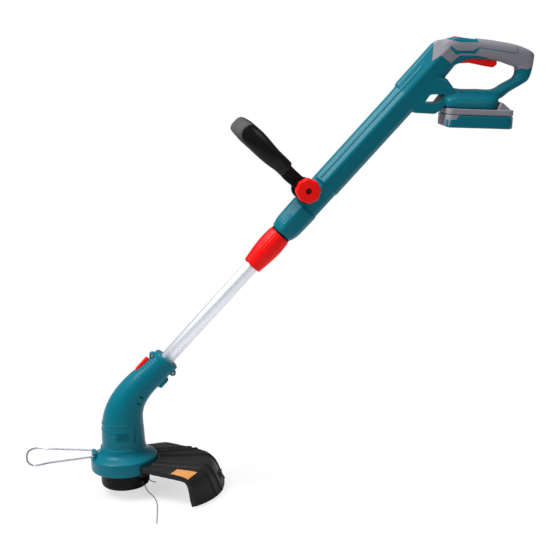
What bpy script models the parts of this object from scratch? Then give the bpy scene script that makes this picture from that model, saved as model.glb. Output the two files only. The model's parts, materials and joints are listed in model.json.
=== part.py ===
"""Cordless string trimmer, as an assembly of its separate pieces.

Metres, +Z up. The origin is the centre of the bump button's face, on the line spool's axis.
+X runs from the trimmer head towards the rear handle, and the left side is -Y.
"""

import math

import bmesh
import bpy
from mathutils import Matrix, Vector

MM = 0.001

# Clearances
GAP = 0.3 * MM
WELD = 0.01 * MM
SLIVER = 0.03 * MM

# Shaft line, measured from where it crosses the spool's axis
SHAFT_ANGLE = math.radians(45)
SHAFT_CROSSING = 139.5 * MM

# Tube
TUBE_RADIUS = 12.5 * MM
TUBE_WALL = 1.2 * MM
TUBE_START = 74 * MM
TUBE_BORE = TUBE_RADIUS + GAP
NECK_END = 121 * MM
COLLAR_START = 338 * MM
TUBE_IN_HOUSING = 185 * MM
BUSH_LENGTH = 10 * MM
LEAD_RADIUS = 3.5 * MM
LEAD_LENGTH = 400 * MM

# Twist collar and collet, from the collar's lower end
COLLAR_LENGTH = 72 * MM
COLLAR_FRONT_RADIUS = 15.8 * MM
COLLAR_BELLY_RADIUS = 21.4 * MM
COLLAR_BACK_RADIUS = 19.6 * MM
COLLET_START = 6 * MM
COLLET_SHOULDER = 28 * MM
COLLET_NOSE_RADIUS = 14.6 * MM
COLLET_SLOT = 2 * MM
COLLET_END = 118 * MM
HOUSING_BORE = 17.0 * MM
BORE_END = 345 * MM
SEAL_LENGTH = 2.4 * MM

# Housing, distances along the shaft from the collar's lower end
HOUSING_START = COLLAR_LENGTH + SEAL_LENGTH + 2 * GAP
HOUSING_TOP = 24.0 * MM
HOUSING_BOTTOM = 24.8 * MM
HOUSING_HALF_WIDTH = 22.5 * MM
SADDLE_START = 133 * MM
SADDLE_END = 186 * MM
SADDLE_HALF_WIDTH = 19.0 * MM
CABLE_RADIUS = 4.0 * MM

# Hand loop
SKIN = 2.5 * MM
LUG_HALF_WIDTH = 20.5 * MM

# Battery foot and battery; the pack's own axes lean with the foot
PACK_TILT = math.radians(-4.6)
PACK_CENTRE_X = 631 * MM
PACK_CENTRE_Z = 595.4 * MM
PACK_LENGTH = 114 * MM
PACK_HALF_WIDTH = 37 * MM
PACK_LOWER_HEIGHT = 22 * MM
PACK_BODY_HEIGHT = 31.7 * MM
PACK_CORNER = 7 * MM
PACK_WALL = 2.6 * MM
RAIL_HALF_WIDTH = 20 * MM
RAIL_HEIGHT = 11 * MM
RAIL_FRONT = -38 * MM
WEDGE_HALF_WIDTH = 33 * MM
WEDGE_FRONT = 35 * MM
WEDGE_TOP = 44.5 * MM
TERMINAL_LENGTH = 12 * MM
TERMINAL_HALF_WIDTH = 12 * MM
CELL_RADIUS = 9 * MM
CELL_LENGTH = 65 * MM
CELL_PITCH = 19.4 * MM
CELL_COUNT = 5

# Auxiliary handle, round its clamp bolt
BOLT_ALONG = 159.6 * MM
BOLT_UP = 24.1 * MM
BOLT_RADIUS = 4.0 * MM
LUG_RADIUS = 13.0 * MM
CLAMP_HALF_WIDTH = SADDLE_HALF_WIDTH + 0.1 * MM
LOOP_HUB_RADIUS = 19.0 * MM
LOOP_HUB_BACK = 4 * MM
LOOP_HUB_DROP = 3 * MM
LOOP_ARM = 12.0 * MM
LOOP_HALF_WIDTH = 48 * MM
LOOP_LENGTH = 162 * MM
LOOP_BAR = 11.8 * MM
LOOP_GRIP_START = 50 * MM
GRIP_RUBBER = 2.8 * MM
KNOB_START = 31.8 * MM
KNOB_RADIUS = 21.0 * MM
KNOB_LENGTH = 20 * MM
KNOB_FLUTE = 1.6 * MM
KNOB_LOBES = 8
KNOB_STEPS = 5
KNOB_SOCKET_RADIUS = 5.2 * MM
KNOB_SOCKET_DEPTH = 9 * MM
NUT_RADIUS = 7.7 * MM
NUT_LENGTH = 8 * MM

# Trigger and lock-off button
TRIGGER_PIVOT_X = 608.1 * MM
TRIGGER_PIVOT_Z = 712.7 * MM
TRIGGER_HALF_WIDTH = 7.0 * MM
PIN_RADIUS = 1.5 * MM
PIN_HALF_LENGTH = 11.5 * MM
SWITCH_HALF_WIDTH = 9 * MM
LOCK_OFF_X = 602.5 * MM
LOCK_OFF_SUNK = 1.9 * MM
LOCK_OFF_TILT = math.radians(10.3)
LOCK_OFF_LENGTH = 14 * MM
LOCK_OFF_HALF_WIDTH = 5 * MM
LOCK_OFF_PROUD = 1.9 * MM
LOCK_OFF_DEPTH = 5.5 * MM
LOCK_OFF_TRAVEL = 2.5 * MM

# Trimmer head
FLANGE_RADIUS = 57.5 * MM
FLANGE_BOTTOM = 34 * MM
FLANGE_RIM = 57 * MM
FLANGE_TOP = 70 * MM
FLANGE_RECESS = 46 * MM
BODY_RADIUS = 39.0 * MM
EAR_ALONG = 108.5 * MM
EAR_UP = 23.2 * MM
EAR_RADIUS = 5.5 * MM
EAR_HALF_WIDTH = 8 * MM
HEAD_BUTTON_START = 70.5 * MM
HEAD_BUTTON_END = 99.5 * MM
HEAD_BUTTON_HALF_WIDTH = 6 * MM
HEAD_BUTTON_TOP = 29.3 * MM
HEAD_BUTTON_BOTTOM = 20.2 * MM
HEAD_BUTTON_TRAVEL = 3.0 * MM
RETAINER_RADIUS = 15 * MM
RETAINER_START = 84 * MM
RETAINER_LENGTH = 5 * MM
MOTOR_RADIUS = 18 * MM
MOTOR_HEIGHT = 56 * MM
MOTOR_CHAMBER = 30 * MM
CHAMBER_TOP = 118 * MM
LEAD_CHANNEL = 8 * MM
WEB_BOTTOM = 40.5 * MM
WEB_TOP = 46 * MM
BEARING_RADIUS = 11 * MM
SHAFT_RADIUS = 2.5 * MM
SHAFT_TOP = 70 * MM

# Spool
SPOOL_RADIUS = 42 * MM
SPOOL_WALL = 3 * MM
SPOOL_TOP = 37 * MM
SPOOL_SPLIT = 9 * MM
CAP_BOTTOM = 1.2 * MM
BUTTON_RADIUS = 20 * MM
BUTTON_NECK = 14 * MM
BUTTON_HEIGHT = 7 * MM
REEL_RADIUS = 37.5 * MM
REEL_TOP = 28 * MM
REEL_FLANGE = 2 * MM
REEL_CORE = 16 * MM
REEL_BORE = 8.6 * MM
SPRING_SEAT = 20 * MM
SPRING_WIRE = 0.7 * MM
SPRING_TURNS = 4
SPRING_POINTS = 10
HUB_RADIUS = 8.0 * MM
EYELET_HEIGHT = 15 * MM
EYELET_RADIUS = 3.3 * MM
EYELET_BORE = 1.3 * MM
EYELET_ANGLES = (math.radians(-48), math.radians(132))
LINE_RADIUS = 0.8 * MM
LINE_STEP = 4 * MM
WOUND_RADIUS = 33 * MM

# Guard
GUARD_THICKNESS = 2.6 * MM
GUARD_RING_INNER = 47 * MM
GUARD_TOP = 50 * MM
GUARD_REACH = 173 * MM
GUARD_BOTTOM = -4.6 * MM
GUARD_RIB_WIDTH = 3.0 * MM
GUARD_RIB_HEIGHT = 2.2 * MM
GUARD_EDGE = 9 * MM
DRAW = 12 * MM
DRAW_START = 100 * MM
DRAW_TOP = 42 * MM
DRAW_ANGLE = math.radians(-15)
DRAW_SPREAD = math.radians(29)
CUTTER_ANGLE = math.radians(-6)
CUTTER_RADIUS = 158 * MM
GUARD_SCREW_RADIUS = 52.3 * MM
GUARD_SCREW_ANGLES = (math.radians(-38), math.radians(18))
GUARD_SCREW_LENGTH = 14 * MM

# Plant guard wire
WIRE_RADIUS = 1.5 * MM
WIRE_PIVOT_X = -51 * MM
WIRE_PIVOT_Z = 65 * MM
WIRE_LEG_OFFSET = 17 * MM
WIRE_END_OFFSET = 43 * MM
WIRE_REACH = 166 * MM
WIRE_RISE = 5.5 * MM
WIRE_YAW = math.radians(5)
WIRE_PIN_END = 5.8 * MM
WIRE_LUG_HALF_WIDTH = 13 * MM

# Screws
SCREW_RADIUS = 1.5 * MM
SCREW_HEAD_RADIUS = 3.0 * MM
SCREW_HEAD_HEIGHT = 2.0 * MM
SCREW_LENGTH = 18 * MM
RECESS_REACH = 14 * MM

# Facets round a circle
WIDE = 48
FINE = 32
ROUND = 20
SMALL = 14
TINY = 8
CUTTER_TWIST = math.radians(4)


# Scene and materials

for old in list(bpy.data.objects):
    bpy.data.objects.remove(old, do_unlink=True)

TRIMMER = bpy.data.collections.new("string_trimmer")
CUTTERS = bpy.data.collections.new("cutters")
bpy.context.scene.collection.children.link(TRIMMER)
bpy.context.scene.collection.children.link(CUTTERS)


def make_material(name, colour, roughness, metallic=0.0):
    material = bpy.data.materials.new(name)
    material.use_nodes = True
    shader = material.node_tree.nodes["Principled BSDF"]
    shader.inputs["Base Color"].default_value = (*colour, 1.0)
    shader.inputs["Roughness"].default_value = roughness
    shader.inputs["Metallic"].default_value = metallic
    return material


TEAL = make_material("teal_plastic", (0.006, 0.120, 0.160), 0.42)
RED = make_material("red_plastic", (0.56, 0.012, 0.012), 0.35)
GREY = make_material("grey_overmould", (0.24, 0.235, 0.265), 0.7)
BLACK = make_material("black_plastic", (0.010, 0.010, 0.011), 0.45)
GUARD_BLACK = make_material("guard_plastic", (0.026, 0.026, 0.028), 0.5)
RUBBER = make_material("black_rubber", (0.012, 0.012, 0.012), 0.6)
ALUMINIUM = make_material("aluminium", (0.72, 0.74, 0.80), 0.3, 1.0)
STEEL = make_material("steel", (0.42, 0.42, 0.44), 0.35, 1.0)
BRASS = make_material("brass", (0.60, 0.42, 0.18), 0.35, 1.0)
NYLON = make_material("nylon_line", (0.10, 0.10, 0.11), 0.5)
CELL_WRAP = make_material("cell_wrap", (0.05, 0.10, 0.30), 0.5)
CABLE = make_material("cable_sheath", (0.02, 0.02, 0.02), 0.6)


# Places

def along_shaft(along, up=0.0, side=0.0):
    """The point at a distance along the shaft, a height off its axis and a side."""
    return Vector(
        (
            along * math.cos(SHAFT_ANGLE) - up * math.sin(SHAFT_ANGLE),
            side,
            SHAFT_CROSSING + along * math.sin(SHAFT_ANGLE) + up * math.cos(SHAFT_ANGLE),
        )
    )


def in_housing(along, up=0.0, side=0.0):
    """The same, measured along the shaft from the collar's lower end."""
    return along_shaft(COLLAR_START + along, up, side)


def around_spool(radius, angle, height):
    return Vector((radius * math.cos(angle), radius * math.sin(angle), height))


def shaft_frame(along=0.0):
    """Local Z runs up the shaft, local X points below it."""
    turn = Matrix.Rotation(math.pi / 2 - SHAFT_ANGLE, 4, "Y")
    return Matrix.Translation(along_shaft(along)) @ turn


def clamp_frame():
    """At the handle's bolt: local X runs up the shaft, local Z away from it."""
    place = Matrix.Translation(in_housing(BOLT_ALONG, BOLT_UP))
    return place @ Matrix.Rotation(-SHAFT_ANGLE, 4, "Y")


def across_frame(point=(0, 0, 0)):
    """Local Z runs across the trimmer, towards its left side (-Y)."""
    return Matrix.Translation(point) @ Matrix.Rotation(math.pi / 2, 4, "X")


def pack_frame():
    """Local X runs back along the pack, local Z up through it, from its underside's centre."""
    place = Matrix.Translation((PACK_CENTRE_X, 0, PACK_CENTRE_Z))
    return place @ Matrix.Rotation(-PACK_TILT, 4, "Y")


def facing(point, direction):
    """Local Z points along a direction."""
    turn = Vector(direction).to_track_quat("Z", "Y").to_matrix().to_4x4()
    return Matrix.Translation(point) @ turn


UPRIGHT = Matrix.Identity(4)


# Making objects

def add_object(name, mesh, material=None, collection=TRIMMER, place=UPRIGHT):
    thing = bpy.data.objects.new(name, mesh)
    if material:
        mesh.materials.clear()
        mesh.materials.append(material)
    collection.objects.link(thing)
    thing.matrix_world = place
    return thing


def tool(name, mesh, place=UPRIGHT):
    """A shape that only cuts or joins."""
    thing = add_object(name, mesh, None, CUTTERS, place)
    thing.hide_render = True
    thing.display_type = "WIRE"
    return thing


def mesh_from_bmesh(name, bm):
    mesh = bpy.data.meshes.new(name)
    bmesh.ops.recalc_face_normals(bm, faces=bm.faces)
    bm.to_mesh(mesh)
    bm.free()
    mesh.shade_smooth()
    mesh.set_sharp_from_angle(angle=math.radians(35))
    return mesh


def evaluated_mesh(thing):
    bpy.context.view_layer.update()
    graph = bpy.context.evaluated_depsgraph_get()
    return bpy.data.meshes.new_from_object(thing.evaluated_get(graph))


def bevel_rims(bm, width, segments):
    """Rounds the sharp edges that lie flat in one level of local z."""
    rims = [e for e in bm.edges if abs(e.verts[0].co.z - e.verts[1].co.z) < WELD]
    rims = [e for e in rims if e.calc_face_angle(0) > 1]
    bmesh.ops.bevel(
        bm, geom=rims, offset=width, segments=segments, profile=0.5, affect="EDGES"
    )


def rod_mesh(name, radius, low, high, segments=ROUND, bevel=0.0):
    """A cylinder along local Z."""
    bm = bmesh.new()
    bmesh.ops.create_cone(
        bm,
        cap_ends=True,
        segments=segments,
        radius1=radius,
        radius2=radius,
        depth=high - low,
        matrix=Matrix.Translation((0, 0, (low + high) / 2)),
    )
    if bevel:
        bevel_rims(bm, bevel, 2)
    return mesh_from_bmesh(name, bm)


def box_mesh(name, low, high, bevel=0.0):
    bm = bmesh.new()
    low, high = Vector(low), Vector(high)
    size = Matrix.Diagonal((*(high - low), 1))
    bmesh.ops.create_cube(bm, size=1.0, matrix=Matrix.Translation((low + high) / 2) @ size)
    if bevel:
        bmesh.ops.bevel(
            bm, geom=list(bm.edges), offset=bevel, segments=2, profile=0.5, affect="EDGES"
        )
    return mesh_from_bmesh(name, bm)


def mm_points(points):
    return [Vector(p) * MM for p in points]


def grown(outline, by):
    """A closed outline moved outwards by a distance."""
    area = sum(a[0] * b[1] - b[0] * a[1] for a, b in zip(outline, outline[1:] + outline[:1]))
    sign = math.copysign(1, area)
    moved = []
    for i, corner in enumerate(outline):
        back = (Vector(corner) - Vector(outline[i - 1])).normalized()
        ahead = (Vector(outline[(i + 1) % len(outline)]) - Vector(corner)).normalized()
        out_a = Vector((back.y, -back.x)) * sign
        out_b = Vector((ahead.y, -ahead.x)) * sign
        moved.append(Vector(corner) + (out_a + out_b) * by / (1 + out_a.dot(out_b)))
    return moved


def rounded(outline, radius, steps=3):
    """A closed outline with its corners rounded."""
    path = []
    count = len(outline)
    for i in range(count):
        corner = Vector(outline[i])
        back = Vector(outline[i - 1]) - corner
        ahead = Vector(outline[(i + 1) % count]) - corner
        reach = min(radius / math.tan(back.angle(ahead) / 2), 0.45 * back.length)
        reach = min(reach, 0.45 * ahead.length)
        start = corner + back.normalized() * reach
        end = corner + ahead.normalized() * reach
        for k in range(steps + 1):
            t = k / steps
            path.append((1 - t) ** 2 * start + 2 * t * (1 - t) * corner + t * t * end)
    return path


def plate_mesh(name, outline, low, high, bevel=0.0, segments=2):
    """A flat outline in local X and Y, from local z = low to z = high."""
    bm = bmesh.new()
    lower = [bm.verts.new((p[0], p[1], low)) for p in outline]
    upper = [bm.verts.new((p[0], p[1], high)) for p in outline]
    bm.faces.new(list(reversed(lower)))
    bm.faces.new(upper)
    for i in range(len(outline)):
        bm.faces.new((lower[i - 1], lower[i], upper[i], upper[i - 1]))
    bmesh.ops.remove_doubles(bm, verts=bm.verts, dist=WELD)
    if bevel:
        bevel_rims(bm, bevel, segments)
    return mesh_from_bmesh(name, bm)


def turned(name, profile, steps, material=None, place=UPRIGHT, collection=TRIMMER):
    """A profile of (radius, height) points, down its outer side and up its inner one."""
    mesh = bpy.data.meshes.new(name)
    edges = [(i, i + 1) for i in range(len(profile) - 1)]
    if profile[0][0] > 0:
        edges.append((len(profile) - 1, 0))
    mesh.from_pydata([(r, 0, z) for r, z in profile], edges, [])
    thing = add_object(name, mesh, material, collection, place)
    screw_turn = thing.modifiers.new("turn", "SCREW")
    screw_turn.steps = steps
    screw_turn.render_steps = steps
    screw_turn.use_merge_vertices = True
    screw_turn.merge_threshold = WELD
    return thing


def turned_tool(name, profile, steps, place=UPRIGHT):
    thing = turned(name, profile, steps, None, place, CUTTERS)
    thing.hide_render = True
    thing.display_type = "WIRE"
    return thing


def ring(inner, outer, low, high, bevel=0.0):
    """A profile for a plain ring, its outer corners chamfered."""
    if not bevel:
        return [(outer, high), (outer, low), (inner, low), (inner, high)]
    return [
        (outer - bevel, high),
        (outer, high - bevel),
        (outer, low + bevel),
        (outer - bevel, low),
        (inner, low),
        (inner, high),
    ]


def squircle(width, height, power, count, turn=0.0):
    """Points round a superellipse: power 2 is an ellipse, more is squarer."""
    points = []
    for i in range(count):
        angle = 2 * math.pi * i / count + turn
        c, s = math.cos(angle), math.sin(angle)
        x = math.copysign(abs(c) ** (2 / power), c) * width
        y = math.copysign(abs(s) ** (2 / power), s) * height
        points.append((x, y))
    return points


def loft_mesh(name, rings):
    """Sections of equal point counts, joined in order and capped at both ends."""
    bm = bmesh.new()
    loops = [[bm.verts.new(p) for p in section] for section in rings]
    for loop, following in zip(loops, loops[1:]):
        for i in range(len(loop)):
            j = (i + 1) % len(loop)
            bm.faces.new((loop[i], loop[j], following[j], following[i]))
    bm.faces.new(list(reversed(loops[0])))
    bm.faces.new(loops[-1])
    return mesh_from_bmesh(name, bm)


def combine(target, cutter, operation="DIFFERENCE"):
    boolean = target.modifiers.new(operation.lower(), "BOOLEAN")
    boolean.operation = operation
    boolean.solver = "EXACT"
    boolean.object = cutter
    return target


def welded(mesh):
    bm = bmesh.new()
    bm.from_mesh(mesh)
    bmesh.ops.remove_doubles(bm, verts=bm.verts, dist=SLIVER)
    bmesh.ops.dissolve_degenerate(bm, edges=bm.edges, dist=SLIVER)
    return mesh_from_bmesh(mesh.name, bm)


def hole_tool(name, radius, start, end, segments=SMALL):
    """A round cutter from one point to another."""
    start, end = Vector(start), Vector(end)
    mesh = rod_mesh(name, radius, 0, (end - start).length, segments)
    return tool(name, mesh, facing(start, end - start) @ Matrix.Rotation(CUTTER_TWIST, 4, "Z"))


def halves(whole, left_name, right_name, material):
    """Two shells, split at the middle plane with the fit's gap between them."""
    mesh = welded(evaluated_mesh(whole))
    place = whole.matrix_world.copy()
    bpy.data.objects.remove(whole)
    shells = []
    for name, near, far in ((left_name, -0.2, -GAP / 2), (right_name, GAP / 2, 0.2)):
        room = tool(name + "_room", box_mesh(name + "_room", (-0.3, near, -0.1), (0.9, far, 0.9)))
        shell = add_object(name, mesh.copy(), material, TRIMMER, place)
        combine(shell, room, "INTERSECT")
        shells.append(shell)
    return shells


def round_wire(name, points, radius, material, resolution=2):
    """A wire or cord through its points, with closed ends."""
    curve = bpy.data.curves.new(name, "CURVE")
    curve.dimensions = "3D"
    curve.bevel_depth = radius
    curve.bevel_resolution = resolution
    curve.use_fill_caps = True
    spline = curve.splines.new("POLY")
    spline.points.add(len(points) - 1)
    for spline_point, point in zip(spline.points, points):
        spline_point.co = (*point, 1)
    carrier = bpy.data.objects.new(name + "_route", curve)
    CUTTERS.objects.link(carrier)
    mesh = evaluated_mesh(carrier)
    bpy.data.objects.remove(carrier)
    bm = bmesh.new()
    bm.from_mesh(mesh)
    bmesh.ops.remove_doubles(bm, verts=bm.verts, dist=WELD)
    return add_object(name, mesh_from_bmesh(name, bm), material)


def smooth_route(corners, step):
    """Points about a step apart along a smooth curve through the corners."""
    dense = []
    padded = [2 * corners[0] - corners[1], *corners, 2 * corners[-1] - corners[-2]]
    for a, b, c, d in zip(padded, padded[1:], padded[2:], padded[3:]):
        for k in range(16):
            t = k / 16
            bend = (2 * a - 5 * b + 4 * c - d) * t * t + (3 * b - a - 3 * c + d) * t ** 3
            dense.append((2 * b + (c - a) * t + bend) / 2)
    dense.append(corners[-1])
    route = [dense[0]]
    walked = 0.0
    for start, end in zip(dense, dense[1:]):
        walked += (end - start).length
        if walked >= step:
            route.append(end)
            walked = 0.0
    route[-1] = dense[-1]
    return route


def add_screw(name, head, direction, length=SCREW_LENGTH):
    """A pan-head screw, by its head's outer face and the way it drives."""
    profile = [
        (0, 0),
        (SCREW_HEAD_RADIUS, 0),
        (SCREW_HEAD_RADIUS, -SCREW_HEAD_HEIGHT),
        (SCREW_RADIUS, -SCREW_HEAD_HEIGHT),
        (SCREW_RADIUS, -length),
        (0, -length),
    ]
    return turned(name, profile, TINY, STEEL, facing(head, -Vector(direction)))


def screw_room(target, name, head, direction, length=SCREW_LENGTH):
    """A screw's hole and its head's recess, open to the outside."""
    seat = -SCREW_HEAD_HEIGHT - GAP
    profile = [
        (0, RECESS_REACH),
        (SCREW_HEAD_RADIUS + GAP, RECESS_REACH),
        (SCREW_HEAD_RADIUS + GAP, seat),
        (SCREW_RADIUS + GAP, seat),
        (SCREW_RADIUS + GAP, -length - GAP),
        (0, -length - GAP),
    ]
    combine(target, turned_tool(name, profile, TINY, facing(head, -Vector(direction))))


# Housing

SHAFT_STATIONS = (
    # along, top, bottom, half width
    (HOUSING_START, 18.6 * MM, 18.6 * MM, 18.6 * MM),
    (HOUSING_START + 5 * MM, 20.8 * MM, 21.0 * MM, 20.6 * MM),
    (HOUSING_START + 20 * MM, 23.4 * MM, 24.0 * MM, 22.2 * MM),
    (SADDLE_START, HOUSING_TOP, HOUSING_BOTTOM, HOUSING_HALF_WIDTH),
    (SADDLE_START + 1.5 * MM, HOUSING_TOP, 23.6 * MM, SADDLE_HALF_WIDTH),
    (SADDLE_END - 1.5 * MM, HOUSING_TOP, 23.6 * MM, SADDLE_HALF_WIDTH),
    (SADDLE_END, HOUSING_TOP, HOUSING_BOTTOM, HOUSING_HALF_WIDTH),
    (372 * MM, HOUSING_TOP, HOUSING_BOTTOM, HOUSING_HALF_WIDTH),
    (392 * MM, 27.4 * MM, 24.0 * MM, HOUSING_HALF_WIDTH),
    (448 * MM, 28.0 * MM, 26.3 * MM, 22.0 * MM),
    (480 * MM, 28.0 * MM, 25.0 * MM, 21.0 * MM),
    (491 * MM, 24.6 * MM, 23.5 * MM, 19.5 * MM),
    (502 * MM, 15.5 * MM, 20.0 * MM, 17.0 * MM),
)


def shaft_rings(inset=0.0):
    """Eight-sided sections with soft corners, widest at their side ridge."""
    rings = []
    last = SHAFT_STATIONS[-1][0] - inset
    for along, top, bottom, wide in SHAFT_STATIONS:
        along, top, bottom, wide = min(along, last), top - inset, bottom - inset, wide - inset
        side = [
            (top, 0.28 * wide),
            (top - 0.08 * wide, 0.42 * wide),
            (0.42 * wide, 0.95 * wide),
            (0.30 * wide, wide),
            (-0.50 * bottom, 0.93 * wide),
            (-0.68 * bottom, 0.85 * wide),
            (0.08 * wide - bottom, 0.46 * wide),
            (-bottom, 0.30 * wide),
        ]
        outline = [(top, 0.0), *side, (-bottom, 0.0), *((up, -y) for up, y in reversed(side))]
        rings.append([in_housing(along, up, y) for up, y in outline])
    return rings


LOOP_STATIONS = (
    # inner edge, outer edge, half width, all in mm
    ((588.2, 664.5), (577.1, 642.3), 17),
    ((605.4, 660.7), (605.4, 636.3), 19),
    ((635.6, 658.9), (637.7, 634.3), 19),
    ((661.7, 657.4), (671.0, 639.8), 18),
    ((679.1, 666.1), (690.2, 651.9), 15),
    ((695.8, 674.3), (711.4, 662.5), 13.5),
    ((700.8, 681.2), (724.0, 670.6), 13),
    ((701.6, 686.8), (730.6, 686.8), 13),
    ((701.3, 692.1), (735.0, 703.4), 13.5),
    ((696.2, 694.6), (733.6, 716.2), 14.5),
    ((687.1, 698.1), (706.3, 729.2), 16),
    ((671.0, 703.9), (674.0, 737.0), 17),
    ((645.7, 707.6), (650.8, 741.3), 17),
    ((622.5, 709.2), (625.5, 744.9), 17),
    ((607.4, 704.3), (595.3, 748.6), 18.2),
    ((597.3, 700.9), (572.0, 740.3), 19.2),
    ((589.2, 698.9), (560.9, 728.7), 19.4),
)
LOOP_FACETS = 18
LOOP_TOP = 14


def loop_rings(inset=0.0):
    """Soft-cornered sections round the hand opening, each from its inner to its outer edge."""
    rings = []
    for inner, outer, half_width in LOOP_STATIONS:
        inner, outer = Vector((inner[0], 0, inner[1])) * MM, Vector((outer[0], 0, outer[1])) * MM
        middle = (inner + outer) / 2
        reach = (outer - inner) / 2
        reach = reach * (1 - inset / reach.length)
        wide = half_width * MM - inset
        outline = squircle(wide, 1.0, 2.7, LOOP_FACETS, math.pi / 2)
        rings.append([middle + reach * high + Vector((0, y, 0)) for y, high in outline])
    back = (rings[-2][0] + rings[-2][LOOP_FACETS // 2] - rings[-1][0] - rings[-1][LOOP_FACETS // 2])
    rings[-1] = [p + back.normalized() * inset for p in rings[-1]]
    return rings


FOOT_STATIONS = (
    # height in the pack's frame, front, rear, half width, all in mm
    (32.0, -52, 27.5, 33),
    (34.5, -56, 29, 34),
    (43.0, -60, 33.6, 33.5),
    (49.0, -58, 34, 30),
    (54.0, -52, 37, 24),
    (62.0, -40, 44, 17),
)


def foot_rings():
    rings = []
    frame = pack_frame()
    for height, front, rear, half_width in FOOT_STATIONS:
        outline = squircle((rear - front) / 2, half_width, 5, 20)
        middle = (rear + front) / 2
        rings.append([frame @ (Vector((x + middle, y, height)) * MM) for x, y in outline])
    return rings


def side_plate(name, points, half_width, bevel=0.0):
    """A plate cut to an outline in X and Z (mm), as wide on either side of the middle."""
    mesh = plate_mesh(name, mm_points(points), -half_width, half_width, bevel)
    return tool(name, mesh, across_frame())


housing = tool("housing_whole", loft_mesh("housing_whole", shaft_rings()))
combine(housing, tool("hand_loop", loft_mesh("hand_loop", loop_rings())), "UNION")
combine(housing, tool("battery_foot", loft_mesh("battery_foot", foot_rings())), "UNION")
GUSSET = (
    (518, 652),
    (516, 634),
    (523, 625.4),
    (558, 621.9),
    (566.5, 626.6),
    (580, 638),
    (602, 638),
    (606, 659.5),
    (592.5, 661.5),
    (579.4, 680.2),
    (560, 684),
)
combine(housing, side_plate("gusset", GUSSET, LUG_HALF_WIDTH, 3 * MM), "UNION")
clamp_lug = rod_mesh("clamp_lug", LUG_RADIUS, -CLAMP_HALF_WIDTH, CLAMP_HALF_WIDTH, ROUND)
combine(
    housing,
    tool("clamp_lug", clamp_lug, across_frame(in_housing(BOLT_ALONG, BOLT_UP))),
    "UNION",
)

# The covers' region, and the body without them
COVER_REGION = (
    (566, 765),
    (559, 733),
    (554, 710),
    (569, 719),
    (588, 703.5),
    (600, 690),
    (696, 683),
    (708, 691),
    (720, 688),
    (742, 696),
    (751, 765),
)
PLATE_REGION = ((575, 765), (583.5, 745), (602, 739.5), (634, 737.5), (638, 765))


def core(name, inset):
    body = tool(name, loft_mesh(name, shaft_rings(inset)))
    combine(body, tool(name + "_loop", loft_mesh(name + "_loop", loop_rings(inset))), "UNION")
    return body


full_shape = tool("full_shape", evaluated_mesh(housing))
cover_region = side_plate("cover_region", COVER_REGION, 60 * MM)
cover_room = side_plate(
    "cover_room", [p / MM for p in grown(mm_points(COVER_REGION), GAP)], 60 * MM
)
plate_region = side_plate("plate_region", PLATE_REGION, 60 * MM)
plate_room = side_plate(
    "plate_room", [p / MM for p in grown(mm_points(PLATE_REGION), GAP)], 60 * MM
)
combine(cover_room, core("housing_core", SKIN))
combine(housing, cover_room)
combine(housing, plate_room)

# Strap slot
STRAP_SLOT = ((541.8, 641.5), (552, 655), (578, 653.8), (566.5, 640))
slot_outline = [p / MM for p in rounded(mm_points(STRAP_SLOT), 2.5 * MM)]
combine(housing, side_plate("strap_slot", slot_outline, 60 * MM))

# Tube bore, cable channel and clamp bolt's hole
housing_bore = hole_tool(
    "housing_bore", HOUSING_BORE, in_housing(HOUSING_START - 5 * MM), in_housing(BORE_END), ROUND
)
combine(housing, housing_bore)
cable_channel = hole_tool(
    "cable_channel", CABLE_RADIUS, in_housing(BORE_END - 3 * MM), in_housing(487 * MM), TINY
)
combine(housing, cable_channel)
switch_channel = hole_tool(
    "switch_channel",
    CABLE_RADIUS,
    in_housing(483 * MM),
    Vector((626, 0, 725)) * MM,
    TINY,
)
combine(housing, switch_channel)
bolt_hole = hole_tool(
    "bolt_hole",
    BOLT_RADIUS + GAP,
    in_housing(BOLT_ALONG, BOLT_UP, -60 * MM),
    in_housing(BOLT_ALONG, BOLT_UP, 60 * MM),
)
combine(housing, bolt_hole)

# Trigger slot, switch and pin
TRIGGER_SLOT = ((600.3, 690), (671.4, 690), (671.4, 718), (600.3, 718))
SWITCH_LOW = Vector((625 * MM, -SWITCH_HALF_WIDTH, 715.8 * MM))
SWITCH_HIGH = Vector((651 * MM, SWITCH_HALF_WIDTH, 730.7 * MM))
trigger_slot = side_plate("trigger_slot", TRIGGER_SLOT, TRIGGER_HALF_WIDTH + GAP)
margin = Vector((GAP, GAP, GAP))
switch_room = tool(
    "switch_room", box_mesh("switch_room", SWITCH_LOW - margin, SWITCH_HIGH + margin)
)
pivot = Vector((TRIGGER_PIVOT_X, 0, TRIGGER_PIVOT_Z))
pin_reach = Vector((0, PIN_HALF_LENGTH + GAP, 0))
pin_room = hole_tool("pin_room", PIN_RADIUS + GAP, pivot - pin_reach, pivot + pin_reach)
combine(housing, trigger_slot)
combine(housing, switch_room)
combine(housing, pin_room)

# Lock-off button's pocket
top_front, top_rear = (Vector(LOOP_STATIONS[n][1]) * MM for n in (LOOP_TOP, LOOP_TOP - 1))
top_share = (LOCK_OFF_X - top_front.x) / (top_rear.x - top_front.x)
lock_off_z = top_front.lerp(top_rear, top_share).y - LOCK_OFF_SUNK
lock_off_frame = Matrix.Translation((LOCK_OFF_X, 0, lock_off_z)) @ Matrix.Rotation(
    LOCK_OFF_TILT, 4, "Y"
)
lock_off_room = tool(
    "lock_off_room",
    box_mesh(
        "lock_off_room",
        (
            -LOCK_OFF_LENGTH / 2 - GAP,
            -LOCK_OFF_HALF_WIDTH - GAP,
            -LOCK_OFF_DEPTH - LOCK_OFF_TRAVEL - GAP,
        ),
        (LOCK_OFF_LENGTH / 2 + GAP, LOCK_OFF_HALF_WIDTH + GAP, 20 * MM),
    ),
    lock_off_frame,
)
combine(housing, lock_off_room)

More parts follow.
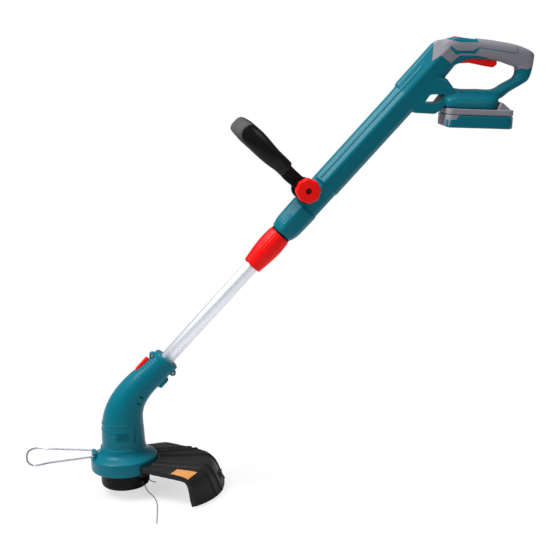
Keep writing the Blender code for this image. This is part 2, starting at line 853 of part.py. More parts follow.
# Rail channel and terminal block's seat
CHANNEL_TOP = PACK_BODY_HEIGHT + RAIL_HEIGHT + GAP
TERMINAL_FRONT = RAIL_FRONT - GAP - TERMINAL_LENGTH
rail_channel = tool(
    "rail_channel",
    box_mesh(
        "rail_channel",
        (TERMINAL_FRONT - GAP, -RAIL_HALF_WIDTH - GAP, PACK_BODY_HEIGHT - 10 * MM),
        (WEDGE_FRONT + 10 * MM, RAIL_HALF_WIDTH + GAP, CHANNEL_TOP),
    ),
    pack_frame(),
)
terminal_room = tool(
    "terminal_room",
    box_mesh(
        "terminal_room",
        (TERMINAL_FRONT - 2 * GAP, -TERMINAL_HALF_WIDTH - GAP, PACK_BODY_HEIGHT + 1 * MM),
        (RAIL_FRONT, TERMINAL_HALF_WIDTH + GAP, CHANNEL_TOP + 5 * MM),
    ),
    pack_frame(),
)
combine(housing, rail_channel)
combine(housing, terminal_room)

# Screws, driven from the right side
HOUSING_SCREWS = (
    in_housing(362 * MM, 14 * MM, 11 * MM),
    in_housing(428 * MM, -12 * MM, 11 * MM),
    Vector((715, 11, 684)) * MM,
    Vector((644, 12, 649)) * MM,
)
LEFTWARDS = (0, -1, 0)
RIGHTWARDS = (0, 1, 0)
for number, head in enumerate(HOUSING_SCREWS, 1):
    screw_room(housing, "housing_screw_room_%d" % number, head, LEFTWARDS)
    add_screw("housing_screw_%d" % number, head, LEFTWARDS)

halves(housing, "housing_left", "housing_right", TEAL)

# Grip covers and top plate
cover = tool("cover_whole", full_shape.data.copy())
combine(cover, cover_region, "INTERSECT")
combine(cover, core("cover_core", SKIN - GAP))
for cutter in (plate_room, trigger_slot, lock_off_room, pin_room):
    combine(cover, cutter)
combine(cover, tool("cover_foot_room", loft_mesh("cover_foot_room", foot_rings())))
halves(cover, "grip_cover_left", "grip_cover_right", GREY)

top_plate = add_object("top_plate", full_shape.data.copy(), TEAL)
combine(top_plate, plate_region, "INTERSECT")
combine(top_plate, lock_off_room)

# Trigger group
TRIGGER_OUTLINE = (
    (602, 703.3),
    (620.4, 703.6),
    (650.1, 696.2),
    (661.7, 693.9),
    (668.8, 698.6),
    (668.8, 705.2),
    (620.6, 712.6),
    (612.6, 716.7),
    (604.6, 716.7),
    (602, 712.2),
)
trigger_points = [p - pivot.xz for p in mm_points(TRIGGER_OUTLINE)]
trigger_mesh = plate_mesh(
    "trigger",
    rounded(trigger_points, 2.0 * MM, 2),
    -TRIGGER_HALF_WIDTH,
    TRIGGER_HALF_WIDTH,
    0.6 * MM,
)
trigger = add_object("trigger", trigger_mesh, RED, TRIMMER, across_frame(pivot))
combine(trigger, pin_room)

pin = rod_mesh("trigger_pin", PIN_RADIUS, -PIN_HALF_LENGTH, PIN_HALF_LENGTH, TINY)
add_object("trigger_pin", pin, STEEL, TRIMMER, across_frame(pivot))
add_object("switch", box_mesh("switch", SWITCH_LOW, SWITCH_HIGH, 0.8 * MM), BLACK)

lock_off_mesh = box_mesh(
    "lock_off_button",
    (-LOCK_OFF_LENGTH / 2, -LOCK_OFF_HALF_WIDTH, -LOCK_OFF_DEPTH),
    (LOCK_OFF_LENGTH / 2, LOCK_OFF_HALF_WIDTH, LOCK_OFF_PROUD),
    1.2 * MM,
)
add_object("lock_off_button", lock_off_mesh, RED, TRIMMER, lock_off_frame)

# Collar, seal and collet, turned round the shaft's axis
collar_frame = shaft_frame(COLLAR_START)
COLLAR_PROFILE = [
    (COLLAR_BACK_RADIUS - 1.0 * MM, COLLAR_LENGTH),
    (COLLAR_BACK_RADIUS, COLLAR_LENGTH - 1.5 * MM),
    (COLLAR_BACK_RADIUS + 1.0 * MM, COLLAR_LENGTH - 7 * MM),
    (COLLAR_BELLY_RADIUS, 0.70 * COLLAR_LENGTH),
    (COLLAR_BELLY_RADIUS - 0.4 * MM, 0.53 * COLLAR_LENGTH),
    (COLLAR_BELLY_RADIUS - 1.1 * MM, 0.39 * COLLAR_LENGTH),
    (COLLAR_FRONT_RADIUS + 2.2 * MM, 0.14 * COLLAR_LENGTH),
    (COLLAR_FRONT_RADIUS + 1.0 * MM, 1.5 * MM),
    (COLLAR_FRONT_RADIUS, 0),
    (TUBE_BORE, 0),
    (TUBE_BORE, COLLET_START - GAP),
    (COLLET_NOSE_RADIUS + GAP, COLLET_START - GAP),
    (COLLET_NOSE_RADIUS + GAP, COLLET_SHOULDER - GAP),
    (HOUSING_BORE, COLLET_SHOULDER - GAP),
    (HOUSING_BORE, COLLAR_LENGTH),
]
turned("lock_collar", COLLAR_PROFILE, FINE, RED, collar_frame)
seal_low = COLLAR_LENGTH + GAP
turned(
    "collar_seal",
    ring(HOUSING_BORE, 18.8 * MM, seal_low, seal_low + SEAL_LENGTH, 0.4 * MM),
    FINE,
    RUBBER,
    collar_frame,
)
COLLET_PROFILE = [
    (HOUSING_BORE - GAP, COLLET_END),
    (HOUSING_BORE - GAP, COLLET_SHOULDER),
    (COLLET_NOSE_RADIUS, COLLET_SHOULDER),
    (COLLET_NOSE_RADIUS, COLLET_START),
    (TUBE_BORE, COLLET_START),
    (TUBE_BORE, COLLET_END),
]
collet = turned("collet", COLLET_PROFILE, ROUND, BLACK, collar_frame)
half_slot = COLLET_SLOT / 2
slot_long = COLLET_NOSE_RADIUS + 5 * MM
for name, x, y in (("collet_slot_a", slot_long, half_slot), ("collet_slot_b", half_slot, slot_long)):
    slot_mesh = box_mesh(name, (-x, -y, 0), (x, y, COLLET_SHOULDER - 5 * MM))
    combine(collet, tool(name, slot_mesh, collar_frame))

# Tube, its bush, retaining ring and power lead
shaft_line = shaft_frame()
tube_end = COLLAR_START + TUBE_IN_HOUSING
turned(
    "lower_tube",
    ring(TUBE_RADIUS - TUBE_WALL, TUBE_RADIUS, TUBE_START, tube_end),
    FINE,
    ALUMINIUM,
    shaft_line,
)
turned(
    "tube_guide_bush",
    ring(TUBE_BORE, HOUSING_BORE - GAP, tube_end - BUSH_LENGTH, tube_end, 0.6 * MM),
    ROUND,
    BLACK,
    shaft_line,
)
turned(
    "retaining_ring",
    ring(TUBE_BORE, RETAINER_RADIUS, RETAINER_START, RETAINER_START + RETAINER_LENGTH),
    ROUND,
    STEEL,
    shaft_line,
)
lead_drop = TUBE_RADIUS - TUBE_WALL - LEAD_RADIUS - GAP
lead_mesh = rod_mesh("power_lead", LEAD_RADIUS, TUBE_START, TUBE_START + LEAD_LENGTH, TINY)
add_object(
    "power_lead", lead_mesh, CABLE, TRIMMER, shaft_line @ Matrix.Translation((lead_drop, 0, 0))
)

# Auxiliary handle: a bar from one hub over to the other, with a rubber grip round its far part
HALF_BAR = LOOP_BAR / 2
ARM_MIDDLE = CLAMP_HALF_WIDTH + GAP + LOOP_ARM / 2
BAR_MIDDLE = LOOP_HALF_WIDTH - HALF_BAR - GRIP_RUBBER
BAR_TOP = LOOP_LENGTH - HALF_BAR - GRIP_RUBBER
LOOP_SPREAD = BAR_MIDDLE - ARM_MIDDLE
LOOP_PATH = (
    # side, height over the bolt, half depth, shift up the shaft
    (ARM_MIDDLE, -2 * MM, 11.0 * MM, 0),
    (ARM_MIDDLE, 20 * MM, 11.6 * MM, -0.8 * MM),
    (ARM_MIDDLE + 0.12 * LOOP_SPREAD, 36 * MM, 12.2 * MM, -1.2 * MM),
    (ARM_MIDDLE + 0.28 * LOOP_SPREAD, LOOP_GRIP_START - 3 * MM, 12.2 * MM, -0.5 * MM),
    (ARM_MIDDLE + 0.32 * LOOP_SPREAD, LOOP_GRIP_START, 11.4 * MM, 1.4 * MM),
    (ARM_MIDDLE + 0.55 * LOOP_SPREAD, 64 * MM, 11.6 * MM, 2.0 * MM),
    (ARM_MIDDLE + 0.88 * LOOP_SPREAD, 82 * MM, 12.9 * MM, 1.3 * MM),
    (BAR_MIDDLE, 101 * MM, 14.4 * MM, 2.2 * MM),
    (BAR_MIDDLE + 0.5 * MM, 121 * MM, 15.2 * MM, 3.4 * MM),
    (BAR_MIDDLE - 1.5 * MM, BAR_TOP - 16 * MM, 14.9 * MM, 3.0 * MM),
    (BAR_MIDDLE - 6 * MM, BAR_TOP - 7 * MM, 13.6 * MM, 2.5 * MM),
    (BAR_MIDDLE - 16 * MM, BAR_TOP - 1.5 * MM, 12.0 * MM, 2.0 * MM),
    (0.3 * BAR_MIDDLE, BAR_TOP, 11.2 * MM, 1.5 * MM),
)


def bar_rings(extra=0.0, lowest=-1.0):
    """Sections square to the bar's path, as far down both arms as its lowest point."""
    arm = [p for p in LOOP_PATH if p[1] >= lowest]
    path = arm + [(-side, *rest) for side, *rest in reversed(arm)]
    rings = []
    for i, (side, high, deep, shift) in enumerate(path):
        before, after = path[max(i - 1, 0)], path[min(i + 1, len(path) - 1)]
        along = Vector((after[0] - before[0], after[1] - before[1])).normalized()
        outline = squircle(deep + extra, HALF_BAR + extra, 4, SMALL)
        rings.append(
            [Vector((x + shift, side + y * along.y, high - y * along.x)) for x, y in outline]
        )
    return rings


bolt_frame = clamp_frame()
bolt_across = across_frame(in_housing(BOLT_ALONG, BOLT_UP))
hub_across = across_frame(in_housing(BOLT_ALONG - LOOP_HUB_BACK, BOLT_UP - LOOP_HUB_DROP))
aux_frame = add_object(
    "aux_handle_frame", loft_mesh("aux_handle_frame", bar_rings()), BLACK, TRIMMER, bolt_frame
)
for name, side in (("left_hub", 1), ("right_hub", -1)):
    low, high = sorted((side * (ARM_MIDDLE - LOOP_ARM / 2), side * (ARM_MIDDLE + LOOP_ARM / 2)))
    hub = rod_mesh(name, LOOP_HUB_RADIUS, low, high, ROUND, 1.5 * MM)
    combine(aux_frame, tool(name, hub, hub_across), "UNION")
combine(aux_frame, bolt_hole)

aux_grip = add_object(
    "aux_handle_grip",
    loft_mesh("aux_handle_grip", bar_rings(GRIP_RUBBER, LOOP_GRIP_START)),
    RUBBER,
    TRIMMER,
    bolt_frame,
)
combine(aux_grip, tool("grip_core", loft_mesh("grip_core", bar_rings(GAP)), bolt_frame))

# Clamp bolt, knob and its nut, along local Z towards the left side
BOLT_END = KNOB_START + KNOB_LENGTH - KNOB_SOCKET_DEPTH + 2 * MM
HUB_OUTER = ARM_MIDDLE + LOOP_ARM / 2
BOLT_PROFILE = [
    (0, BOLT_END),
    (BOLT_RADIUS - 0.6 * MM, BOLT_END),
    (BOLT_RADIUS, BOLT_END - 0.6 * MM),
    (BOLT_RADIUS, -HUB_OUTER - GAP),
    (7 * MM, -HUB_OUTER - GAP),
    (7 * MM, -HUB_OUTER - 3.5 * MM),
    (5 * MM, -HUB_OUTER - 5 * MM),
    (0, -HUB_OUTER - 5 * MM),
]
turned("pivot_bolt", BOLT_PROFILE, SMALL, STEEL, bolt_across)

knob_outline = []
for i in range(KNOB_LOBES * KNOB_STEPS):
    angle = 2 * math.pi * i / (KNOB_LOBES * KNOB_STEPS)
    radius = KNOB_RADIUS - KNOB_FLUTE * (1 - math.cos(KNOB_LOBES * angle)) / 2
    knob_outline.append((radius * math.cos(angle), radius * math.sin(angle)))
knob_end = KNOB_START + KNOB_LENGTH
knob_mesh = plate_mesh("clamp_knob", knob_outline, KNOB_START, knob_end, 1.5 * MM, 1)
knob = add_object("clamp_knob", knob_mesh, RED, TRIMMER, bolt_across)
nut_room_high = KNOB_START + NUT_LENGTH + 2 * GAP
KNOB_ROOM = [
    (0, knob_end + 5 * MM),
    (KNOB_SOCKET_RADIUS, knob_end + 5 * MM),
    (KNOB_SOCKET_RADIUS, knob_end - KNOB_SOCKET_DEPTH),
    (BOLT_RADIUS + GAP, knob_end - KNOB_SOCKET_DEPTH),
    (BOLT_RADIUS + GAP, nut_room_high),
    (NUT_RADIUS + GAP, nut_room_high),
    (NUT_RADIUS + GAP, KNOB_START - 5 * MM),
    (0, KNOB_START - 5 * MM),
]
twisted = bolt_across @ Matrix.Rotation(CUTTER_TWIST, 4, "Z")
combine(knob, turned_tool("knob_room", KNOB_ROOM, ROUND, twisted))
turned(
    "knob_nut",
    ring(BOLT_RADIUS + GAP, NUT_RADIUS, KNOB_START + GAP, KNOB_START + GAP + NUT_LENGTH, 0.5 * MM),
    ROUND,
    BRASS,
    bolt_across,
)

# Battery pack, in its own frame
pack = pack_frame()
PACK_OUTLINE = (
    (-PACK_LENGTH / 2, -PACK_HALF_WIDTH),
    (PACK_LENGTH / 2, -PACK_HALF_WIDTH),
    (PACK_LENGTH / 2, PACK_HALF_WIDTH),
    (-PACK_LENGTH / 2, PACK_HALF_WIDTH),
)
pack_outline = rounded(PACK_OUTLINE, PACK_CORNER)
inner_x = PACK_LENGTH / 2 - PACK_WALL
inner_y = CELL_LENGTH / 2 + GAP
lower_case = add_object(
    "battery_lower_case",
    plate_mesh("battery_lower_case", pack_outline, 0, PACK_LOWER_HEIGHT, 2.5 * MM),
    TEAL,
    TRIMMER,
    pack,
)
cell_floor = PACK_LOWER_HEIGHT - 2 * CELL_RADIUS - 2 * GAP
cell_room = box_mesh(
    "cell_room",
    (-inner_x, -inner_y, cell_floor),
    (inner_x, inner_y, PACK_LOWER_HEIGHT + 10 * MM),
)
combine(lower_case, tool("cell_room", cell_room, pack))
cell_middle = cell_floor + GAP + CELL_RADIUS
for i in range(CELL_COUNT):
    name = "battery_cell_%d" % (i + 1)
    place = pack @ Matrix.Translation(((i - (CELL_COUNT - 1) / 2) * CELL_PITCH, 0, cell_middle))
    cell = rod_mesh(name, CELL_RADIUS, -CELL_LENGTH / 2, CELL_LENGTH / 2, SMALL)
    add_object(name, cell, CELL_WRAP, TRIMMER, place @ across_frame())

seam = PACK_LOWER_HEIGHT + GAP
upper_case = add_object(
    "battery_upper_case",
    plate_mesh("battery_upper_case", pack_outline, seam, PACK_BODY_HEIGHT, 1.2 * MM),
    GREY,
    TRIMMER,
    pack,
)
rail_mesh = box_mesh(
    "rail",
    (RAIL_FRONT, -RAIL_HALF_WIDTH, PACK_BODY_HEIGHT - 2 * MM),
    (WEDGE_FRONT + 2 * MM, RAIL_HALF_WIDTH, PACK_BODY_HEIGHT + RAIL_HEIGHT),
    0.8 * MM,
)
combine(upper_case, tool("rail", rail_mesh, pack), "UNION")
wedge_rear = PACK_LENGTH / 2
WEDGE = (
    (WEDGE_FRONT, PACK_BODY_HEIGHT - 2 * MM),
    (wedge_rear - 0.5 * MM, PACK_BODY_HEIGHT - 6 * MM),
    (wedge_rear - 2 * MM, PACK_BODY_HEIGHT - 2 * MM),
    (WEDGE_FRONT + 3 * MM, WEDGE_TOP - 1 * MM),
    (WEDGE_FRONT, WEDGE_TOP),
)
wedge_mesh = plate_mesh("wedge", WEDGE, -WEDGE_HALF_WIDTH, WEDGE_HALF_WIDTH, 1.5 * MM)
combine(upper_case, tool("wedge", wedge_mesh, pack @ across_frame()), "UNION")
board_room = box_mesh(
    "board_room",
    (-inner_x + 2 * MM, -inner_y + 2 * MM, seam - 5 * MM),
    (inner_x - 4 * MM, inner_y - 2 * MM, PACK_BODY_HEIGHT - 3 * MM),
)
combine(upper_case, tool("board_room", board_room, pack))

LATCH_FRONT = WEDGE_FRONT + 4 * MM
LATCH_REAR = WEDGE_FRONT + 13 * MM
LATCH_LOW = PACK_BODY_HEIGHT + 1.5 * MM
LATCH_TRAVEL = 2.5 * MM
LATCH_HALF_WIDTH = 12 * MM
LATCH = (
    (LATCH_FRONT, LATCH_LOW),
    (LATCH_REAR, LATCH_LOW),
    (LATCH_REAR, LATCH_LOW + 4.5 * MM),
    (LATCH_FRONT, WEDGE_TOP - 0.5 * MM),
)
latch_mesh = plate_mesh("battery_latch", LATCH, -LATCH_HALF_WIDTH, LATCH_HALF_WIDTH, 1 * MM)
latch_room = box_mesh(
    "latch_room",
    (LATCH_FRONT - GAP, -LATCH_HALF_WIDTH - GAP, LATCH_LOW - LATCH_TRAVEL - GAP),
    (LATCH_REAR + GAP, LATCH_HALF_WIDTH + GAP, WEDGE_TOP + 10 * MM),
)
combine(upper_case, tool("latch_room", latch_room, pack))
add_object("battery_latch", latch_mesh, RED, TRIMMER, pack @ across_frame())

terminal_mesh = box_mesh(
    "terminal_block",
    (TERMINAL_FRONT, -TERMINAL_HALF_WIDTH, PACK_BODY_HEIGHT + 2 * MM),
    (RAIL_FRONT - GAP, TERMINAL_HALF_WIDTH, CHANNEL_TOP + 5 * MM - GAP),
    0.5 * MM,
)
add_object("terminal_block", terminal_mesh, BLACK, TRIMMER, pack)

# Trimmer head
HEAD_STATIONS = (
    # centre x, centre z, lean, half depth, half width; mm and degrees
    (1.2, 50, 0, 37.3, 37.8),
    (1.2, 78, 0, 37.3, 37.5),
    (1.2, 100, 0, 36.8, 36.8),
    (2.1, 120, 5, 35.4, 35.3),
    (7, 140.5, 17, 32.4, 33),
    (18.6, 162.2, 32, 28.6, 30),
    (38, 184, 43, 25.5, 27.0),
    (60, 202, 45, 23.5, 23.5),
)
HEAD_POINTS = 22


def head_rings():
    """Sections that turn from the spool's axis to the shaft's."""
    stations = [Vector(station) for station in HEAD_STATIONS]
    end = along_shaft(NECK_END) / MM
    stations.append(Vector((end.x, end.z, 45, 21.8, 21.8)))
    dense = []
    for i in range(len(stations) - 1):
        a, b = stations[max(i - 1, 0)], stations[i]
        c, d = stations[i + 1], stations[min(i + 2, len(stations) - 1)]
        for t in (0, 0.5):
            bend = (2 * a - 5 * b + 4 * c - d) * t * t + (3 * b - a - 3 * c + d) * t ** 3
            dense.append((2 * b + (c - a) * t + bend) / 2)
    dense.append(stations[-1])
    rings = []
    for x, z, lean, deep, wide in dense:
        lean = math.radians(lean)
        middle = Vector((x, 0, z)) * MM
        across = Vector((math.cos(lean), 0, -math.sin(lean)))
        outline = squircle(deep * MM, wide * MM, 2.15, HEAD_POINTS)
        rings.append([middle + across * p + Vector((0, q, 0)) for p, q in outline])
    return rings


head = tool("head_whole", loft_mesh("head_whole", head_rings()))
FLANGE_PROFILE = [
    (0, FLANGE_TOP),
    (BODY_RADIUS, FLANGE_TOP),
    (BODY_RADIUS + 3 * MM, FLANGE_TOP - 4 * MM),
    (FLANGE_RADIUS - 2 * MM, FLANGE_RIM + 1.2 * MM),
    (FLANGE_RADIUS, FLANGE_RIM - 0.8 * MM),
    (FLANGE_RADIUS, FLANGE_BOTTOM),
    (FLANGE_RECESS, FLANGE_BOTTOM),
    (FLANGE_RECESS, WEB_BOTTOM),
    (0, WEB_BOTTOM),
]
combine(head, turned_tool("flange", FLANGE_PROFILE, WIDE), "UNION")
for name, up in (("upper_ear", EAR_UP), ("lower_ear", -EAR_UP)):
    ear = rod_mesh(name, EAR_RADIUS, -EAR_HALF_WIDTH, EAR_HALF_WIDTH, SMALL, 0.8 * MM)
    ear_place = across_frame(along_shaft(EAR_ALONG, up))
    combine(head, tool(name, ear, ear_place), "UNION")
lug_x, lug_z = WIRE_PIVOT_X / MM, WIRE_PIVOT_Z / MM
WIRE_LUG = (
    (lug_x - 4.5, lug_z - 8),
    (lug_x + 6, lug_z - 8),
    (lug_x + 5, lug_z),
    (lug_x + 3, lug_z + 3.5),
    (lug_x, lug_z + 4.5),
    (lug_x - 3, lug_z + 3.5),
    (lug_x - 4.5, lug_z),
)
wire_lug = side_plate("wire_lug", WIRE_LUG, WIRE_LUG_HALF_WIDTH, 0.8 * MM)
wire_turn = Matrix.Rotation(WIRE_YAW, 4, "Z")
wire_lug.matrix_world = wire_turn @ wire_lug.matrix_world
combine(head, wire_lug, "UNION")
CHAMBER_PROFILE = [
    (0, CHAMBER_TOP),
    (0.6 * MOTOR_CHAMBER, CHAMBER_TOP),
    (MOTOR_CHAMBER, CHAMBER_TOP - 14 * MM),
    (MOTOR_CHAMBER, WEB_TOP),
    (0, WEB_TOP),
]
combine(head, turned_tool("motor_chamber", CHAMBER_PROFILE, ROUND))
web_hole = rod_mesh("web_hole", BEARING_RADIUS + GAP, WEB_BOTTOM - 5 * MM, WEB_TOP + 5 * MM)
combine(head, tool("web_hole", web_hole))
combine(
    head,
    hole_tool(
        "lead_channel", LEAD_CHANNEL, Vector((0, 0, 0.85 * CHAMBER_TOP)), along_shaft(TUBE_START)
    ),
)
groove = RETAINER_RADIUS + 0.4 * MM
NECK_ROOM = [
    (0, NECK_END + 10 * MM),
    (TUBE_BORE, NECK_END + 10 * MM),
    (TUBE_BORE, RETAINER_START + RETAINER_LENGTH + GAP),
    (groove, RETAINER_START + RETAINER_LENGTH + GAP),
    (groove, RETAINER_START - GAP),
    (TUBE_BORE, RETAINER_START - GAP),
    (TUBE_BORE, TUBE_START - 2 * MM),
    (0, TUBE_START - 2 * MM),
]
combine(head, turned_tool("neck_room", NECK_ROOM, ROUND, shaft_line))
head_button_room = box_mesh(
    "head_button_room",
    (-HEAD_BUTTON_TOP - 20 * MM, -HEAD_BUTTON_HALF_WIDTH - GAP, HEAD_BUTTON_START - GAP),
    (
        GAP + HEAD_BUTTON_TRAVEL - HEAD_BUTTON_BOTTOM,
        HEAD_BUTTON_HALF_WIDTH + GAP,
        HEAD_BUTTON_END + GAP,
    ),
)
combine(head, tool("head_button_room", head_button_room, shaft_line))
for name, side in (("left_pin_room", -1), ("right_pin_room", 1)):
    start = wire_turn @ Vector((WIRE_PIVOT_X, side * (WIRE_PIN_END - GAP), WIRE_PIVOT_Z))
    end = wire_turn @ Vector((WIRE_PIVOT_X, side * 40 * MM, WIRE_PIVOT_Z))
    combine(head, hole_tool(name, WIRE_RADIUS + 0.4 * MM, start, end, TINY))
UPWARDS = (0, 0, 1)
guard_screw_heads = []
for angle in GUARD_SCREW_ANGLES:
    low = FLANGE_BOTTOM - 2 * GAP - GUARD_THICKNESS - SCREW_HEAD_HEIGHT
    guard_screw_heads.append(around_spool(GUARD_SCREW_RADIUS, angle, low))
guard_screw_rooms = []
for number, low in enumerate(guard_screw_heads, 1):
    name = "guard_screw_room_%d" % number
    high = low + Vector((0, 0, GUARD_SCREW_LENGTH + GAP))
    guard_screw_rooms.append(hole_tool(name, SCREW_RADIUS + GAP, low, high, TINY))
    combine(head, guard_screw_rooms[-1])
    add_screw("guard_screw_%d" % number, low, UPWARDS, GUARD_SCREW_LENGTH)
neck_screw_length = 2 * EAR_HALF_WIDTH - 2 * MM
for number, up in enumerate((EAR_UP + 0.6 * MM, -EAR_UP - 0.6 * MM), 1):
    screw_head = along_shaft(EAR_ALONG, up, 1 * MM - EAR_HALF_WIDTH)
    screw_room(head, "neck_screw_room_%d" % number, screw_head, RIGHTWARDS, neck_screw_length)
    add_screw("neck_screw_%d" % number, screw_head, RIGHTWARDS, neck_screw_length)
halves(head, "head_left", "head_right", TEAL)

head_button_mesh = box_mesh(
    "head_lock_button",
    (-HEAD_BUTTON_TOP, -HEAD_BUTTON_HALF_WIDTH, HEAD_BUTTON_START),
    (-HEAD_BUTTON_BOTTOM, HEAD_BUTTON_HALF_WIDTH, HEAD_BUTTON_END),
    1.5 * MM,
)
add_object("head_lock_button", head_button_mesh, RED, TRIMMER, shaft_line)

# Motor, bearing and shaft
turned(
    "motor",
    ring(SHAFT_RADIUS + GAP, MOTOR_RADIUS, WEB_TOP + GAP, WEB_TOP + GAP + MOTOR_HEIGHT, 1.5 * MM),
    ROUND,
    STEEL,
)
turned(
    "lower_bearing",
    ring(SHAFT_RADIUS + GAP, BEARING_RADIUS, WEB_BOTTOM + GAP, WEB_TOP - GAP, 0.5 * MM),
    ROUND,
    STEEL,
)
add_object("motor_shaft", rod_mesh("motor_shaft", SHAFT_RADIUS, SPRING_SEAT, SHAFT_TOP, SMALL), STEEL)

# Spool: housing, cap, hub, reel with its wound line, bump button and spring
turned(
    "drive_hub",
    ring(SHAFT_RADIUS + GAP, HUB_RADIUS, SPRING_SEAT, SPOOL_TOP + 1 * MM, 0.5 * MM),
    ROUND,
    BRASS,
)
SPOOL_PROFILE = [
    (SPOOL_RADIUS - 2.5 * MM, SPOOL_TOP),
    (SPOOL_RADIUS, SPOOL_TOP - 2.5 * MM),
    (SPOOL_RADIUS, SPOOL_SPLIT),
    (SPOOL_RADIUS - SPOOL_WALL, SPOOL_SPLIT),
    (SPOOL_RADIUS - SPOOL_WALL, SPOOL_TOP - SPOOL_WALL),
    (HUB_RADIUS + GAP, SPOOL_TOP - SPOOL_WALL),
    (HUB_RADIUS + GAP, SPOOL_TOP),
]
spool_housing = turned("spool_housing", SPOOL_PROFILE, WIDE, BLACK)
EYELET_PROFILE = [
    (EYELET_RADIUS + 1.2 * MM, 2.0 * MM),
    (EYELET_RADIUS + 1.6 * MM, 1.4 * MM),
    (EYELET_RADIUS + 1.6 * MM, GAP),
    (EYELET_RADIUS, GAP),
    (EYELET_RADIUS, -SPOOL_WALL),
    (EYELET_BORE, -SPOOL_WALL),
    (EYELET_BORE, 2.0 * MM),
]
for number, angle in enumerate(EYELET_ANGLES, 1):
    outward = around_spool(1, angle, 0)
    surface = around_spool(SPOOL_RADIUS, angle, EYELET_HEIGHT)
    room = hole_tool(
        "eyelet_room_%d" % number,
        EYELET_RADIUS + GAP,
        surface - outward * 2 * SPOOL_WALL,
        surface + outward * 2 * SPOOL_WALL,
    )
    combine(spool_housing, room)
    turned("line_eyelet_%d" % number, EYELET_PROFILE, SMALL, STEEL, facing(surface, outward))
turned(
    "spool_cap",
    [
        (SPOOL_RADIUS, SPOOL_SPLIT - GAP),
        (SPOOL_RADIUS, CAP_BOTTOM + 2 * MM),
        (SPOOL_RADIUS - 2 * MM, CAP_BOTTOM),
        (BUTTON_RADIUS + 0.4 * MM, CAP_BOTTOM),
        (BUTTON_RADIUS + 0.4 * MM, SPOOL_SPLIT - GAP),
    ],
    WIDE,
    BLACK,
)
turned(
    "bump_button",
    [
        (0, SPOOL_SPLIT - GAP),
        (BUTTON_NECK, SPOOL_SPLIT - GAP),
        (BUTTON_NECK, BUTTON_HEIGHT),
        (BUTTON_RADIUS, BUTTON_HEIGHT),
        (BUTTON_RADIUS, 2 * MM),
        (BUTTON_RADIUS - 2 * MM, 0),
        (0, 0),
    ],
    FINE,
    BLACK,
)
reel_bottom = SPOOL_SPLIT + GAP
spring_room = SPRING_SEAT - GAP
coil_radius = REEL_CORE - 3.6 * MM - SPRING_WIRE - GAP
turned(
    "line_reel",
    [
        (REEL_RADIUS, REEL_TOP),
        (REEL_RADIUS, REEL_TOP - REEL_FLANGE),
        (REEL_CORE, REEL_TOP - REEL_FLANGE),
        (REEL_CORE, reel_bottom + REEL_FLANGE),
        (REEL_RADIUS, reel_bottom + REEL_FLANGE),
        (REEL_RADIUS, reel_bottom),
        (REEL_BORE, reel_bottom),
        (REEL_BORE, spring_room),
        (coil_radius + SPRING_WIRE + GAP, spring_room),
        (coil_radius + SPRING_WIRE + GAP, REEL_TOP),
    ],
    ROUND,
    BLACK,
)
turned(
    "line_winding",
    ring(
        REEL_CORE + GAP, WOUND_RADIUS, reel_bottom + REEL_FLANGE + GAP, REEL_TOP - REEL_FLANGE - GAP
    ),
    ROUND,
    NYLON,
)
spring_low = SPRING_SEAT + SPRING_WIRE
spring_high = SPOOL_TOP - SPOOL_WALL - GAP - SPRING_WIRE
coil = []
for i in range(SPRING_TURNS * SPRING_POINTS + 1):
    turn = i / SPRING_POINTS
    height = spring_low + (spring_high - spring_low) * turn / SPRING_TURNS
    coil.append(around_spool(coil_radius, 2 * math.pi * turn, height))
round_wire("bump_spring", coil, SPRING_WIRE, STEEL, 1)

# Line ends, from their eyelets
LONG_CORNERS = (
    (26.4, -29.3, 15),
    (28.4, -31.6, 15),
    (30.5, -33.9, 14.7),
    (33.6, -37.6, 9),
    (37.5, -42, 1.5),
    (47, -54, -4.6),
    (51.5, -84, -5.1),
    (51, -118, -5.6),
    (49, -160, -7.5),
)
SHORT_CORNERS = (
    (-26.4, 29.3, 15),
    (-28.4, 31.6, 15),
    (-30.4, 33.9, 14.7),
    (-29.5, 38.6, 13.4),
    (-20, 46, 10.5),
    (0, 50.5, 7),
    (23, 44.5, 2),
    (38.5, 29.5, -3),
    (46, 18.5, -5),
    (52.5, 15.5, -5.6),
)
for name, corners in (("line_end_long", LONG_CORNERS), ("line_end_short", SHORT_CORNERS)):
    round_wire(name, smooth_route(mm_points(corners), LINE_STEP), LINE_RADIUS, NYLON)

# Guard: a turned shell cut to a fan, with edge walls, ribs and a boss for the line cutter
reach = GUARD_REACH
GUARD_TOP_LINE = (
    (FLANGE_RADIUS + GAP, GUARD_TOP),
    (100 * MM, GUARD_TOP - 2.5 * MM),
    (reach - 35 * MM, GUARD_TOP - 5 * MM),
    (reach - 24.5 * MM, GUARD_TOP - 8 * MM),
    (reach - 17 * MM, GUARD_TOP - 15 * MM),
    (reach - 11 * MM, GUARD_TOP - 27 * MM),
    (reach - 5.5 * MM, 7 * MM),
    (reach - 1.5 * MM, GUARD_BOTTOM + 3 * MM),
    (reach, GUARD_BOTTOM),
)


def line_offset(line, by):
    """An open line of (radius, height) points moved inwards by a distance."""
    moved = []
    for i, point in enumerate(line):
        before, after = Vector(line[max(i - 1, 0)]), Vector(line[min(i + 1, len(line) - 1)])
        along = (after - before).normalized()
        moved.append(Vector(point) + Vector((along.y, -along.x)) * by)
    return moved


